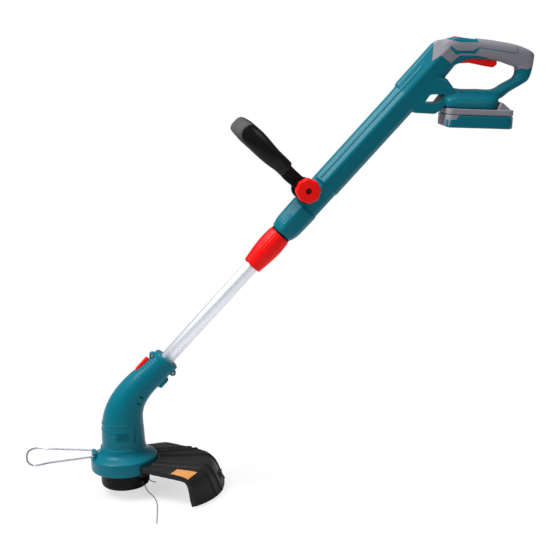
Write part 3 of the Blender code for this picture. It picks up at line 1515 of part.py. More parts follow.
def guard_strip(name, start, end, line, above, below, right, left):
    """An upright strip over a straight run of the guard, following its top line."""
    start, end = Vector((*start, 0)) * MM, Vector((*end, 0)) * MM
    along = (end - start).normalized()
    nearest = start.dot(along)
    clear = (start - along * nearest).length

    def walked(point):
        return (math.sqrt(max(point[0] ** 2 - clear ** 2, 0)) - nearest, point[1])

    outline = [walked(p) for p in line_offset(line, -above)]
    outline += [walked(p) for p in reversed(line_offset(line, below))]
    up = Vector((0, 0, 1))
    turn = Matrix((along, up, along.cross(up))).transposed().to_4x4()
    return tool(name, plate_mesh(name, outline, -left, right), Matrix.Translation(start) @ turn)


shelf_top = FLANGE_BOTTOM - GAP
shelf_bottom = shelf_top - GUARD_THICKNESS
wall_inner = FLANGE_RADIUS + GAP
wall_outer = wall_inner + GUARD_THICKNESS
COLLAR_RING = [
    (wall_outer, GUARD_TOP - GUARD_THICKNESS - 3 * MM),
    (wall_outer, shelf_bottom),
    (GUARD_RING_INNER, shelf_bottom),
    (GUARD_RING_INNER, shelf_top),
    (wall_inner, shelf_top),
]
guard_profile = [
    *line_offset(GUARD_TOP_LINE, 0),
    *reversed(line_offset(GUARD_TOP_LINE, GUARD_THICKNESS)[1:]),
    *(Vector(p) for p in COLLAR_RING),
]
guard = turned_tool("guard_whole", [(p[0], p[1]) for p in guard_profile], WIDE)

# The guard's outline from above and its ribs, in mm
GUARD_NEAR = ((27.7, -54.4), (160.2, -142.1))
GUARD_FAR = ((20, 60), (75, 75), (150, 15), (220, 22))
GUARD_RIBS = (
    ((58.5, 36), (128, 40)),
    ((58.5, 18), (142, 34)),
    ((60, -1), (152, 2)),
    ((57, -27), (140, -46)),
    ((50, -42), (134, -68)),
)
WALL_LINE = [(wall_inner + 1.5 * MM, GUARD_TOP), *GUARD_TOP_LINE[1:-1]]
RIB_LINE = [(wall_outer + 2 * MM, GUARD_TOP), *GUARD_TOP_LINE[1:-1]]
rib_half = GUARD_RIB_WIDTH / 2
for number, (start, end) in enumerate(GUARD_RIBS, 1):
    name = "guard_rib_%d" % number
    rib = guard_strip(
        name, start, end, RIB_LINE, GUARD_RIB_HEIGHT, 0.5 * GUARD_THICKNESS, rib_half, rib_half
    )
    combine(guard, rib, "UNION")
skin = -0.5 * GUARD_THICKNESS
wall_in, wall_past = GUARD_THICKNESS, 1 * MM
near_wall = guard_strip(
    "near_wall", *GUARD_NEAR, WALL_LINE, skin, GUARD_EDGE, wall_past, wall_in
)
combine(guard, near_wall, "UNION")
for number, (start, end) in enumerate(zip(GUARD_FAR, GUARD_FAR[1:]), 1):
    name = "far_wall_%d" % number
    wall = guard_strip(name, start, end, WALL_LINE, skin, GUARD_EDGE, wall_in, wall_past)
    combine(guard, wall, "UNION")
boss_low = GUARD_BOTTOM + 6 * MM
boss_high = boss_low + 18 * MM
cutter_frame = Matrix.Rotation(CUTTER_ANGLE, 4, "Z")
boss = box_mesh(
    "cutter_boss",
    (CUTTER_RADIUS + 1.8 * MM, -9 * MM, boss_low),
    (reach - 4.5 * MM, 9 * MM, boss_high),
)
combine(guard, tool("cutter_boss", boss, cutter_frame), "UNION")
guard_plan = mm_points([(0, 0), *GUARD_NEAR, (260, -60), *reversed(GUARD_FAR)])
fan = tool("guard_fan", plate_mesh("guard_fan", rounded(guard_plan, 5 * MM), -40 * MM, 90 * MM))
combine(guard, fan, "INTERSECT")
for room in guard_screw_rooms:
    combine(guard, room)
cutter_screw_head = cutter_frame @ Vector((CUTTER_RADIUS - GAP, 0, boss_low + 9 * MM))
outward = cutter_frame @ Vector((1, 0, 0))
cutter_screw_length = 9 * MM
cutter_screw_room = hole_tool(
    "cutter_screw_room",
    SCREW_RADIUS + GAP,
    cutter_screw_head - outward * 5 * MM,
    cutter_screw_head + outward * (cutter_screw_length - SCREW_HEAD_HEIGHT + GAP),
    TINY,
)
combine(guard, cutter_screw_room)


def drawn_in(mesh):
    """The guard with the foot of its near end's skirt bent in towards the spool."""
    bm = bmesh.new()
    bm.from_mesh(mesh)
    for vertex in bm.verts:
        radius = vertex.co.xy.length
        if radius < DRAW_START:
            continue
        angle = math.atan2(vertex.co.y, vertex.co.x)
        drop = max((DRAW_TOP - vertex.co.z) / (DRAW_TOP - GUARD_BOTTOM), 0)
        turn = min(max((DRAW_ANGLE - angle) / DRAW_SPREAD, 0), 1)
        vertex.co.xy *= 1 - DRAW * drop * turn ** 2 / radius
    return mesh_from_bmesh(mesh.name, bm)


add_object("guard", drawn_in(welded(evaluated_mesh(guard))), GUARD_BLACK)
bpy.data.objects.remove(guard)

blade = box_mesh(
    "line_cutter",
    (CUTTER_RADIUS, -12 * MM, boss_low + 1 * MM),
    (CUTTER_RADIUS + 1.5 * MM, 12 * MM, boss_high - 1 * MM),
)
line_cutter = add_object("line_cutter", blade, STEEL, TRIMMER, cutter_frame)
combine(line_cutter, cutter_screw_room)
add_screw(
    "cutter_screw",
    cutter_screw_head - outward * SCREW_HEAD_HEIGHT,
    outward,
    cutter_screw_length,
)

# Plant guard wire, one bent piece whose two ends are its hinge pins
end_x = -WIRE_REACH
high = WIRE_PIVOT_Z + WIRE_RISE
leg = WIRE_LEG_OFFSET
WIRE_SIDE = (
    (WIRE_PIVOT_X, WIRE_PIN_END, WIRE_PIVOT_Z),
    (WIRE_PIVOT_X, leg - 3 * MM, WIRE_PIVOT_Z),
    (WIRE_PIVOT_X - 0.9 * MM, leg - 0.9 * MM, WIRE_PIVOT_Z),
    (WIRE_PIVOT_X - 3 * MM, leg, WIRE_PIVOT_Z),
    (end_x + 38 * MM, WIRE_END_OFFSET - 8 * MM, high - 0.8 * MM),
    (end_x + 24 * MM, WIRE_END_OFFSET - 1.2 * MM, high),
    (end_x + 15 * MM, WIRE_END_OFFSET, high),
    (end_x + 8 * MM, WIRE_END_OFFSET - 4 * MM, high),
    (end_x + 4 * MM, WIRE_END_OFFSET - 11 * MM, high),
    (end_x + 1 * MM, WIRE_END_OFFSET - 24 * MM, high),
    (end_x, 0, high),
)
wire_route = [wire_turn @ Vector(p) for p in WIRE_SIDE]
wire_route += [wire_turn @ Vector((x, -y, z)) for x, y, z in reversed(WIRE_SIDE[:-1])]
round_wire("wire_guard", wire_route, WIRE_RADIUS, STEEL)

# Moving groups, each carried by an empty on its joint's axis
GROUPS = (
    ("trigger_group", pivot, ("trigger",)),
    ("lock_off_group", lock_off_frame.translation, ("lock_off_button",)),
    (
        "battery_group",
        pack.translation,
        ("battery_lower_case", "battery_upper_case", "battery_latch")
        + tuple("battery_cell_%d" % (i + 1) for i in range(CELL_COUNT)),
    ),
    (
        "aux_handle_group",
        bolt_frame.translation,
        ("aux_handle_frame", "aux_handle_grip", "clamp_knob", "knob_nut"),
    ),
    ("collar_group", in_housing(0), ("lock_collar",)),
    (
        "tube_group",
        along_shaft(TUBE_START),
        ("lower_tube", "tube_guide_bush", "retaining_ring", "power_lead"),
    ),
    (
        "head_group",
        along_shaft(RETAINER_START),
        ("head_left", "head_right", "motor", "lower_bearing", "guard", "line_cutter")
        + ("cutter_screw", "guard_screw_1", "guard_screw_2", "neck_screw_1", "neck_screw_2")
        + ("head_lock_button",),
    ),
    ("wire_group", wire_turn @ Vector((WIRE_PIVOT_X, 0, WIRE_PIVOT_Z)), ("wire_guard",)),
    (
        "spool_group",
        Vector((0, 0, 0)),
        ("motor_shaft", "drive_hub", "spool_housing", "spool_cap", "line_eyelet_1")
        + ("line_eyelet_2", "line_end_long", "line_end_short"),
    ),
    (
        "bump_group",
        Vector((0, 0, BUTTON_HEIGHT)),
        ("bump_button", "line_reel", "line_winding", "bump_spring"),
    ),
)
for name, place, members in GROUPS:
    carrier = bpy.data.objects.new(name, None)
    TRIMMER.objects.link(carrier)
    carrier.location = place
    bpy.context.view_layer.update()
    for member in members:
        piece = bpy.data.objects[member]
        kept = piece.matrix_world.copy()
        piece.parent = carrier
        piece.matrix_parent_inverse = carrier.matrix_world.inverted()
        piece.matrix_world = kept

CUTTERS.hide_render = True
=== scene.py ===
"""Cordless string trimmer: the finish and the fine shapes round its fixed frame.

Metres, in the frame's own axes: Z up along the line spool's axis, X from the head to the rear
handle, and -Y the left side, where the clamp knob is. Shape numbers are in mm unless said.
"""

import json
import math

import bmesh
import bpy
import numpy
from mathutils import Matrix, Vector


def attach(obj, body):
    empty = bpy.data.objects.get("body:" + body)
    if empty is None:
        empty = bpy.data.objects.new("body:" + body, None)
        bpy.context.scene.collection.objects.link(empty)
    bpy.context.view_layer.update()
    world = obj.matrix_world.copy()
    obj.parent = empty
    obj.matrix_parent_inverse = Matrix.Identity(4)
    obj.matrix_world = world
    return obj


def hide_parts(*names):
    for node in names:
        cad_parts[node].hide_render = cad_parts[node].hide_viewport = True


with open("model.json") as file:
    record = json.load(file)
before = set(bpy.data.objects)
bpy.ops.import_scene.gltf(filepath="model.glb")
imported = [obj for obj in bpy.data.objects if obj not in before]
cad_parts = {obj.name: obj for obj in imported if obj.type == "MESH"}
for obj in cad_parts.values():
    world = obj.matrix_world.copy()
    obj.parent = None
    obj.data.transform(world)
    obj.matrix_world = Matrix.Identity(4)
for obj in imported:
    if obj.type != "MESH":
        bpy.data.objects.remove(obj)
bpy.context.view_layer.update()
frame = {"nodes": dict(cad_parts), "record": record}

MM = 0.001
GAP = 0.3
WELD = 0.01 * MM
UPRIGHT = Matrix.Identity(4)
SCENE = bpy.context.scene
LEFT, RIGHT = -1, 1
SIDES = ((LEFT, "left"), (RIGHT, "right"))
THROUGH = 60
SHARP_ANGLE = math.radians(38)
LIFT = 0.02
PRESSED_FACES, PATCHED_FACES = 0.12, 0.02


def placed(name, data):
    """A new object in the scene."""
    thing = bpy.data.objects.new(name, data)
    SCENE.collection.objects.link(thing)
    return thing


# Camera

IMAGE_WIDTH = 560
SENSOR_WIDTH = 36.0
FOCAL_PIXELS = 1238.4
VIEW_AZIMUTH = math.radians(-6.5)
VIEW_ELEVATION = math.radians(12.7)
VIEW_ROLL = math.radians(-2.35)
VIEW_DISTANCE = 2.13
VIEW_TARGET = Vector((0.2865, 0.0, 0.3500))


def place_camera():
    a, e, r = VIEW_AZIMUTH, VIEW_ELEVATION, VIEW_ROLL
    back = Vector((math.sin(a) * math.cos(e), -math.cos(a) * math.cos(e), math.sin(e)))
    level = Vector((math.cos(a), math.sin(a), 0))
    rise = back.cross(level)
    right = level * math.cos(r) + rise * math.sin(r)
    up = rise * math.cos(r) - level * math.sin(r)
    data = bpy.data.cameras.new("camera")
    data.sensor_width = SENSOR_WIDTH
    data.lens = SENSOR_WIDTH * FOCAL_PIXELS / IMAGE_WIDTH
    data.clip_start, data.clip_end = 0.05, 50
    turn = Matrix((right, up, back)).transposed().to_4x4()
    SCENE.camera = placed("camera", data)
    SCENE.camera.matrix_world = Matrix.Translation(VIEW_TARGET + back * VIEW_DISTANCE) @ turn


place_camera()


# Places, as the frame has them

SHAFT_ANGLE = math.radians(45)
SHAFT_CROSSING = 139.5
COLLAR_START = 338.0
PACK_TILT = math.radians(-4.6)
BOLT_ALONG, BOLT_UP = 159.6, 24.1


def at(x, y, z):
    """A point given in mm, in metres."""
    return Vector((x, y, z)) * MM


def along_shaft(along, up=0.0, side=0.0):
    """The point at a distance along the shaft, a height off its axis and a side, in metres."""
    c, s = math.cos(SHAFT_ANGLE), math.sin(SHAFT_ANGLE)
    return at(along * c - up * s, side, SHAFT_CROSSING + along * s + up * c)


def in_housing(along, up=0.0, side=0.0):
    """The same, measured along the shaft from the collar's lower end."""
    return along_shaft(COLLAR_START + along, up, side)


def shaft_frame(along=0.0):
    """Local Z runs up the shaft, local X points below it."""
    turn = Matrix.Rotation(math.pi / 2 - SHAFT_ANGLE, 4, "Y")
    return Matrix.Translation(along_shaft(along)) @ turn


def clamp_frame():
    """At the handle's bolt: local X runs up the shaft, local Z away from it."""
    place = Matrix.Translation(in_housing(BOLT_ALONG, BOLT_UP))
    return place @ Matrix.Rotation(-SHAFT_ANGLE, 4, "Y")


def across_frame(point=(0, 0, 0)):
    """Local Z runs across the trimmer, towards its left side."""
    return Matrix.Translation(point) @ Matrix.Rotation(math.pi / 2, 4, "X")


def pack_frame():
    """Local X runs back along the battery, local Z up through it, from its underside's centre."""
    return Matrix.Translation((0.631, 0, 0.5954)) @ Matrix.Rotation(-PACK_TILT, 4, "Y")


def turn_by(degrees, axis):
    return Matrix.Rotation(math.radians(degrees), 4, axis)


def facing(point, direction):
    """Local Z points along a direction."""
    turn = Vector(direction).to_track_quat("Z", "Y").to_matrix().to_4x4()
    return Matrix.Translation(point) @ turn


BOLT_ACROSS = across_frame(in_housing(BOLT_ALONG, BOLT_UP))
PACK_ACROSS = pack_frame() @ across_frame()
PACK_FRONT = pack_frame() @ Matrix.Rotation(-math.pi / 2, 4, "Y")
WIRE_TURN = turn_by(5, "Z")
CUTTER_TURN = turn_by(-6, "Z")


# Shader groups

def new_group(name, inputs, outputs):
    tree = bpy.data.node_groups.new(name, "ShaderNodeTree")
    for label, default in inputs:
        kind = "NodeSocketVector" if default is None else "NodeSocketFloat"
        socket = tree.interface.new_socket(label, in_out="INPUT", socket_type=kind)
        if default is not None:
            socket.default_value = default
    for label in outputs:
        tree.interface.new_socket(label, in_out="OUTPUT", socket_type="NodeSocketFloat")
    start, end = tree.nodes.new("NodeGroupInput"), tree.nodes.new("NodeGroupOutput")
    return tree, start.outputs, end.inputs


def add_node(tree, kind, links, **settings):
    """A node with its settings, and its inputs set to a value or linked to another's output."""
    node = tree.nodes.new("ShaderNode" + kind)
    for key, value in settings.items():
        setattr(node, key, value)
    for name, source in links.items():
        socket = node.inputs[name]
        if isinstance(source, bpy.types.NodeSocket):
            tree.links.new(source, socket)
        else:
            socket.default_value = source
    return node


def math_node(tree, operation, a, b, c=0.0, clamp=False):
    node = add_node(tree, "Math", {0: a, 1: b, 2: c}, operation=operation, use_clamp=clamp)
    return node.outputs[0]


def rescaled(tree, value, start, gain, clamp=True):
    """How far a value is above a start, times a gain."""
    over = math_node(tree, "SUBTRACT", value, start)
    return math_node(tree, "MULTIPLY", over, gain, clamp=clamp)


def noise(tree, place, scale, detail, rough=0.5):
    links = {"Vector": place, "Scale": scale, "Detail": detail, "Roughness": rough}
    return add_node(tree, "TexNoise", links).outputs["Fac"]


def moulded_grain():
    """The fine spark-eroded grain of moulded plastic, and its faint flow marks."""
    inputs = (("Place", None), ("Scale", 1500), ("Mottle", 0.06), ("Gloss", 0.08))
    tree, given, wanted = new_group("moulded_grain", inputs, ("Tone", "Gloss Shift", "Height"))
    place = given["Place"]
    links = {"Vector": place, "Scale": given["Scale"]}
    cells = add_node(tree, "TexVoronoi", links, feature="SMOOTH_F1").outputs["Distance"]
    fine = noise(tree, place, given["Scale"], 2)
    flow = noise(tree, place, 22, 3)
    cloud = math_node(tree, "SUBTRACT", flow, 0.5)
    tone = math_node(tree, "MULTIPLY_ADD", cloud, given["Mottle"], 1.0)
    speck = rescaled(tree, fine, 0.5, given["Mottle"], False)
    tree.links.new(math_node(tree, "ADD", tone, speck), wanted["Tone"])
    shift = rescaled(tree, noise(tree, place, 60, 4, 0.65), 0.5, given["Gloss"], False)
    tree.links.new(shift, wanted["Gloss Shift"])
    tree.links.new(math_node(tree, "ADD", cells, fine), wanted["Height"])
    return tree


def edge_rub():
    """Where handling has rubbed a raised edge, broken up by a noise."""
    inputs = (("Place", None), ("Start", 0.52), ("Amount", 1.0))
    tree, given, wanted = new_group("edge_rub", inputs, ("Rub",))
    raised = tree.nodes.new("ShaderNodeNewGeometry").outputs["Pointiness"]
    over = rescaled(tree, raised, given["Start"], 14.0)
    broken = rescaled(tree, noise(tree, given["Place"], 180, 4, 0.7), 0.38, 3.0)
    rub = math_node(tree, "MULTIPLY", over, broken)
    tree.links.new(math_node(tree, "MULTIPLY", rub, given["Amount"]), wanted["Rub"])
    return tree


def fine_dust():
    """Thin dust and smears that dull a surface unevenly."""
    inputs = (("Place", None), ("Amount", 0.1))
    tree, given, wanted = new_group("fine_dust", inputs, ("Dust",))
    cloud = rescaled(tree, noise(tree, given["Place"], 9, 5, 0.6), 0.42, 2.6)
    speck = noise(tree, given["Place"], 700, 2, 0.8)
    speck = math_node(tree, "MULTIPLY", speck, cloud)
    tree.links.new(math_node(tree, "MULTIPLY", speck, given["Amount"]), wanted["Dust"])
    return tree


def drawn_lines():
    """Long fine lines along local Z, as on drawn tube and wire."""
    inputs = (("Place", None), ("Scale", 900), ("Stretch", 60))
    tree, given, wanted = new_group("drawn_lines", inputs, ("Lines",))
    split = add_node(tree, "SeparateXYZ", {0: given["Place"]})
    short = math_node(tree, "DIVIDE", split.outputs["Z"], given["Stretch"])
    links = {"X": split.outputs["X"], "Y": split.outputs["Y"], "Z": short}
    joined = add_node(tree, "CombineXYZ", links).outputs["Vector"]
    lines = noise(tree, joined, given["Scale"], 3, 0.6)
    tree.links.new(lines, wanted["Lines"])
    return tree


GRAIN, RUB, DUST, LINES = moulded_grain(), edge_rub(), fine_dust(), drawn_lines()
DUST_COLOUR = (0.42, 0.40, 0.36, 1)


# Materials

def use_group(tree, group, place, **values):
    node = tree.nodes.new("ShaderNodeGroup")
    node.node_tree = group
    tree.links.new(place, node.inputs["Place"])
    for key, value in values.items():
        node.inputs[key.capitalize()].default_value = value
    return node.outputs


def blank(name, roughness, metallic, specular=0.5):
    material = bpy.data.materials.new(name)
    material.use_nodes = True
    tree = material.node_tree
    shader = tree.nodes["Principled BSDF"]
    values = {"Roughness": roughness, "Metallic": metallic, "Specular IOR Level": specular}
    for label, value in values.items():
        shader.inputs[label].default_value = value
    return material, tree, shader, tree.nodes.new("ShaderNodeTexCoord").outputs["Object"]


def blend_colour(tree, factor, a, b):
    node = add_node(tree, "Mix", {0: factor, 6: a, 7: b}, data_type="RGBA")
    return node.outputs[2]


def toned(tree, colour, tone):
    """A colour made lighter or darker by a value near 1."""
    node = add_node(tree, "VectorMath", {0: colour[:3], "Scale": tone}, operation="SCALE")
    return node.outputs[0]


def surfaced(tree, shader, place, base, rough, dust, height, depth):
    """The last steps of every finish: its dust, its gloss and its relief."""
    dusty = use_group(tree, DUST, place, amount=dust)["Dust"]
    base = blend_colour(tree, dusty, base, DUST_COLOUR)
    rough = math_node(tree, "ADD", rough, dusty, clamp=True)
    bump = add_node(tree, "Bump", {"Height": height, "Strength": 0.1, "Distance": depth})
    ends = {"Base Color": base, "Roughness": rough, "Normal": bump.outputs["Normal"]}
    for label, source in ends.items():
        tree.links.new(source, shader.inputs[label])


def plastic(name, colour, roughness, scale=1500, depth=0.00003, mottle=0.08, gloss=0.1,
            rub=0.35, dust=0.10, specular=0.5, worn=None):
    """Moulded plastic or rubber with its grain, rubbed edges and a little dust."""
    material, tree, shader, place = blank(name, roughness, 0.0, specular)
    grain = use_group(tree, GRAIN, place, scale=scale, mottle=mottle, gloss=gloss)
    worn = worn or tuple(min(1.0, c * 1.5 + 0.02) for c in colour)
    rubbed = use_group(tree, RUB, place, amount=rub)["Rub"]
    base = blend_colour(tree, rubbed, toned(tree, colour, grain["Tone"]), (*worn, 1))
    rough = math_node(tree, "ADD", grain["Gloss Shift"], roughness)
    surfaced(tree, shader, place, base, rough, dust, grain["Height"], depth)
    return material


def metal(name, colour, roughness, turn=UPRIGHT, scale=900, stretch=60, tone=0.25, spread=0.16,
          dust=0.12):
    """Bare metal with its drawn or turned lines along an axis."""
    material, tree, shader, place = blank(name, roughness, 1.0)
    angles = turn.to_euler()
    lay = add_node(tree, "Mapping", {"Vector": place, "Rotation": angles}, vector_type="TEXTURE")
    lines = use_group(tree, LINES, lay.outputs["Vector"], scale=scale, stretch=stretch)["Lines"]
    shade = math_node(tree, "MULTIPLY_ADD", lines, tone, 1.0 - tone / 2)
    rough = math_node(tree, "MULTIPLY_ADD", lines, spread, roughness - spread / 2)
    surfaced(tree, shader, place, toned(tree, colour, shade), rough, dust, lines, 0.000005)
    return material


SHELL = plastic(
    "teal_shell", (0.0003, 0.128, 0.178), 0.34, specular=0.12, worn=(0.002, 0.19, 0.25), dust=0.01
)
RED = plastic("red_caps", (0.84, 0.004, 0.003), 0.40, specular=0.15, worn=(0.84, 0.02, 0.01),
              dust=0.01)
GREY = plastic("grey_soft_moulding", (0.225, 0.215, 0.250), 0.70, 2200, 0.00006, 0.10, rub=0.15,
               dust=0.04, specular=0.25)
BLACK = plastic("black_moulding", (0.004, 0.004, 0.005), 0.40, mottle=0.15, dust=0.01,
                specular=0.08)
GUARD = plastic("guard_moulding", (0.008, 0.008, 0.009), 0.46, 1100, 0.00006, 0.2, 0.14, rub=0.25,
                dust=0.015, specular=0.15)
RUBBER = plastic("gloss_black_grip", (0.003, 0.003, 0.004), 0.24, 2400, 0.00003, 0.1, rub=0.15,
                 dust=0.01, specular=0.2)
PAD = plastic("dark_grey_grip", (0.050, 0.050, 0.050), 0.62, 2400, 0.00006, 0.1, rub=0.15,
              dust=0.03, specular=0.2)
DARK_STEEL = metal("blackened_steel", (0.035, 0.035, 0.04), 0.45)
ALUMINIUM = metal("anodised_tube", (0.78, 0.80, 0.85), 0.48, shaft_frame(), 500, 90, 0.04, 0.03,
                  0.01)
STEEL = metal("plated_steel", (0.42, 0.42, 0.44), 0.34)
WIRE = metal("guard_wire_steel", (0.30, 0.31, 0.36), 0.3)
BRASS = metal("turned_brass", (0.60, 0.42, 0.18), 0.35)
NYLON = plastic("nylon_line", (0.10, 0.10, 0.11), 0.45, 800, 0.00002, 0.2, rub=0.0)
FILM = plastic("cell_film", (0.05, 0.10, 0.30), 0.35, rub=0.0)
CABLE = plastic("cable_sheath", (0.02, 0.02, 0.02), 0.6)
PATCH = plastic("orange_film", (0.62, 0.25, 0.06), 0.5, 1800, 0.00002, 0.12, rub=0.1)

FINISHES = dict(
    teal_plastic=SHELL, red_plastic=RED, grey_overmould=GREY, black_plastic=BLACK,
    guard_plastic=GUARD, black_rubber=RUBBER, aluminium=ALUMINIUM, steel=STEEL, brass=BRASS,
    nylon_line=NYLON, cell_wrap=FILM, cable_sheath=CABLE,
)
SLOTS = {finish.name: slot for slot, finish in FINISHES.items()}
SLOTS.update({
    PAD.name: "black_rubber", WIRE.name: "steel", DARK_STEEL.name: "steel",
    PATCH.name: "guard_plastic",
})
SLOT_OF = {s["node"]: s["material_slot"] for s in frame["record"]["subparts"]}
BLACKENED = ("pivot_bolt", "line_eyelet_1", "line_eyelet_2")
for node_name, node in frame["nodes"].items():
    finish = DARK_STEEL if node_name in BLACKENED else FINISHES[SLOT_OF[node_name]]
    node.data.materials.clear()
    node.data.materials.append(finish)


# Outlines

def beside(points, i):
    """The points before and after one of an open line, or the point itself at an end."""
    return points[max(i - 1, 0)], points[min(i + 1, len(points) - 1)]


def closed_pairs(points):
    return list(zip(points, [*points[1:], points[0]]))


def winding(points):
    """1 for an outline that runs anticlockwise, else -1."""
    area = sum(a[0] * b[1] - b[0] * a[1] for a, b in closed_pairs(points))
    return math.copysign(1, area)


def eased(points, reach, steps=4, closed=True):
    """An outline with its corners rounded, each by up to a reach along its sides."""
    points = [Vector(p) for p in points]
    path = [] if closed else [points[0]]
    picked = range(len(points)) if closed else range(1, len(points) - 1)
    for i in picked:
        corner = points[i]
        back, ahead = points[i - 1] - corner, points[(i + 1) % len(points)] - corner
        used = min(reach, 0.45 * back.length, 0.45 * ahead.length)
        start, end = corner + back.normalized() * used, corner + ahead.normalized() * used
        for k in range(steps + 1):
            t = k / steps
            path.append((1 - t) ** 2 * start + 2 * t * (1 - t) * corner + t * t * end)
    return path if closed else path + [points[-1]]


def flowing(rows, steps, straight=()):
    """Rows of numbers with smooth ones put between them, or straight ones in some spans."""
    rows = [Vector(row) for row in rows]
    dense = []
    for i in range(len(rows) - 1):
        a, b, c = rows[max(i - 1, 0)], rows[i], rows[i + 1]
        d = rows[min(i + 2, len(rows) - 1)]
        for k in range(steps):
            t = k / steps
            if i in straight:
                dense.append(b.lerp(c, t))
            else:
                bend = (2 * a - 5 * b + 4 * c - d) * t * t + (3 * b - a - 3 * c + d) * t ** 3
                dense.append((2 * b + (c - a) * t + bend) / 2)
    return dense + [rows[-1]]


def squircle(width, height, power, count, turn=0.0):
    """Points round a superellipse: power 2 is an ellipse, more is squarer."""
    points = []
    for i in range(count):
        angle = 2 * math.pi * i / count + turn
        c, s = math.cos(angle), math.sin(angle)
        x = math.copysign(abs(c) ** (2 / power), c) * width
        points.append((x, math.copysign(abs(s) ** (2 / power), s) * height))
    return points


# Shapes, all as bmeshes in metres

def outward(bm):
    bmesh.ops.recalc_face_normals(bm, faces=bm.faces)
    return bm


def lofted(rings):
    """Sections of equal counts, bridged in order and closed at both ends. Points in metres."""
    bm = bmesh.new()
    loops = []
    for ring in rings:
        verts = bmesh.ops.create_circle(bm, segments=len(ring), radius=1)["verts"]
        for vert, point in zip(verts, ring):
            vert.co = point
        loops.append(list({e for v in verts for e in v.link_edges}))
    for loop, following in zip(loops, loops[1:]):
        bmesh.ops.bridge_loops(bm, edges=loop + following)
    for loop in (loops[0], loops[-1]):
        bmesh.ops.contextual_create(bm, geom=loop)
    return outward(bm)


def turned(profile, place=UPRIGHT, steps=96):
    """A closed outline of (radius, height), spun round local Z."""
    bm = bmesh.new()
    verts = [bm.verts.new((r * MM, 0, h * MM)) for r, h in profile]
    open_ends = profile[0][0] == 0 and profile[-1][0] == 0
    following = verts[1:] if open_ends else verts[1:] + verts[:1]
    edges = [bm.edges.new(pair) for pair in zip(verts, following)]
    bmesh.ops.spin(
        bm, geom=verts + edges, axis=(0, 0, 1), cent=(0, 0, 0), angle=2 * math.pi, steps=steps,
        use_merge=True,
    )
    bmesh.ops.remove_doubles(bm, verts=bm.verts, dist=WELD)
    bm.transform(place)
    return outward(bm)


def soften(bm, width, segments=3, angle=40, chosen=None, clamped=True):
    """Rounds the edges sharper than an angle, or the chosen ones among them."""
    edges = [e for e in bm.edges if e.calc_face_angle(0) > math.radians(angle)]
    if chosen:
        edges = [e for e in edges if chosen(e)]
    bmesh.ops.bevel(
        bm, geom=edges, offset=width * MM, segments=segments, profile=0.5, affect="EDGES",
        material=-1, clamp_overlap=clamped,
    )
    return bm


def prism(outline, low, high, place=UPRIGHT, edge=0.0, segments=3):
    """A flat outline in local X and Y, drawn from local z = low to high, its rims rounded."""
    bm = bmesh.new()
    face = bm.faces.new([bm.verts.new((p[0] * MM, p[1] * MM, low * MM)) for p in outline])
    grown = bmesh.ops.extrude_face_region(bm, geom=[face])["geom"]
    moved = [v for v in grown if isinstance(v, bmesh.types.BMVert)]
    bmesh.ops.translate(bm, verts=moved, vec=(0, 0, (high - low) * MM))
    outward(bm)
    if edge:
        rims = lambda e: abs(e.verts[0].co.z - e.verts[1].co.z) < WELD
        soften(bm, edge, segments, 50, rims, False)
    bm.transform(place)
    return bm


def block(low, high, place=UPRIGHT, edge=0.0, segments=3):
    """A box between two corners, its edges rounded."""
    low, high = Vector(low) * MM, Vector(high) * MM
    size = Matrix.Diagonal((*(high - low), 1))
    bm = bmesh.new()
    bmesh.ops.create_cube(bm, size=1, matrix=Matrix.Translation((low + high) / 2) @ size)
    if edge:
        soften(bm, edge, segments)
    bm.transform(place)
    return bm


def rod(radius, low, high, place, edge=0.0):
    """A cylinder along local Z."""
    bm = bmesh.new()
    bmesh.ops.create_cone(
        bm, cap_ends=True, segments=48, radius1=radius * MM, radius2=radius * MM,
        depth=(high - low) * MM, matrix=Matrix.Translation((0, 0, (low + high) / 2 * MM)),
    )
    if edge:
        soften(bm, edge)
    bm.transform(place)
    return bm


def swept(route, radius, sides):
    """A round bar along points in metres, closed at both ends."""
    rings = []
    upright = (route[1] - route[0]).normalized().orthogonal().normalized()
    for i, point in enumerate(route):
        before, after = beside(route, i)
        ahead = (after - before).normalized()
        upright = (upright - ahead * upright.dot(ahead)).normalized()
        across = ahead.cross(upright)
        angles = [2 * math.pi * k / sides for k in range(sides)]
        outs = [upright * math.cos(a) + across * math.sin(a) for a in angles]
        rings.append([point + out * radius * MM for out in outs])
    return lofted(rings)


# Working on shapes

def as_mesh(name, bm):
    mesh = bpy.data.meshes.new(name)
    bm.to_mesh(mesh)
    bm.free()
    return mesh


def as_object(bm):
    return placed("working", as_mesh("working", bm))


def discard(thing):
    mesh = thing.data
    bpy.data.objects.remove(thing)
    bpy.data.meshes.remove(mesh)


def taken_back(thing):
    """The mesh of a working object with its modifiers applied, and the object removed."""
    bpy.context.view_layer.update()
    graph = bpy.context.evaluated_depsgraph_get()
    mesh = bpy.data.meshes.new_from_object(thing.evaluated_get(graph))
    bm = bmesh.new()
    bm.from_mesh(mesh)
    discard(thing)
    bpy.data.meshes.remove(mesh)
    return bm


def cut(bm, *tools, operation="DIFFERENCE"):
    """A closed shape cut by others in turn."""
    for tool in tools:
        body, blade = as_object(bm), as_object(tool)
        boolean = body.modifiers.new("cut", "BOOLEAN")
        boolean.operation = operation
        boolean.solver = "MANIFOLD"
        boolean.object = blade
        bm = taken_back(body)
        discard(blade)
    return bm


def within(bm, other):
    """What of a closed shape lies inside another."""
    return cut(bm, other, operation="INTERSECT")


def together(shapes):
    """Several shapes in one bmesh."""
    bm = bmesh.new()
    for shape in shapes:
        mesh = as_mesh("part", shape)
        bm.from_mesh(mesh)
        bpy.data.meshes.remove(mesh)
    return bm


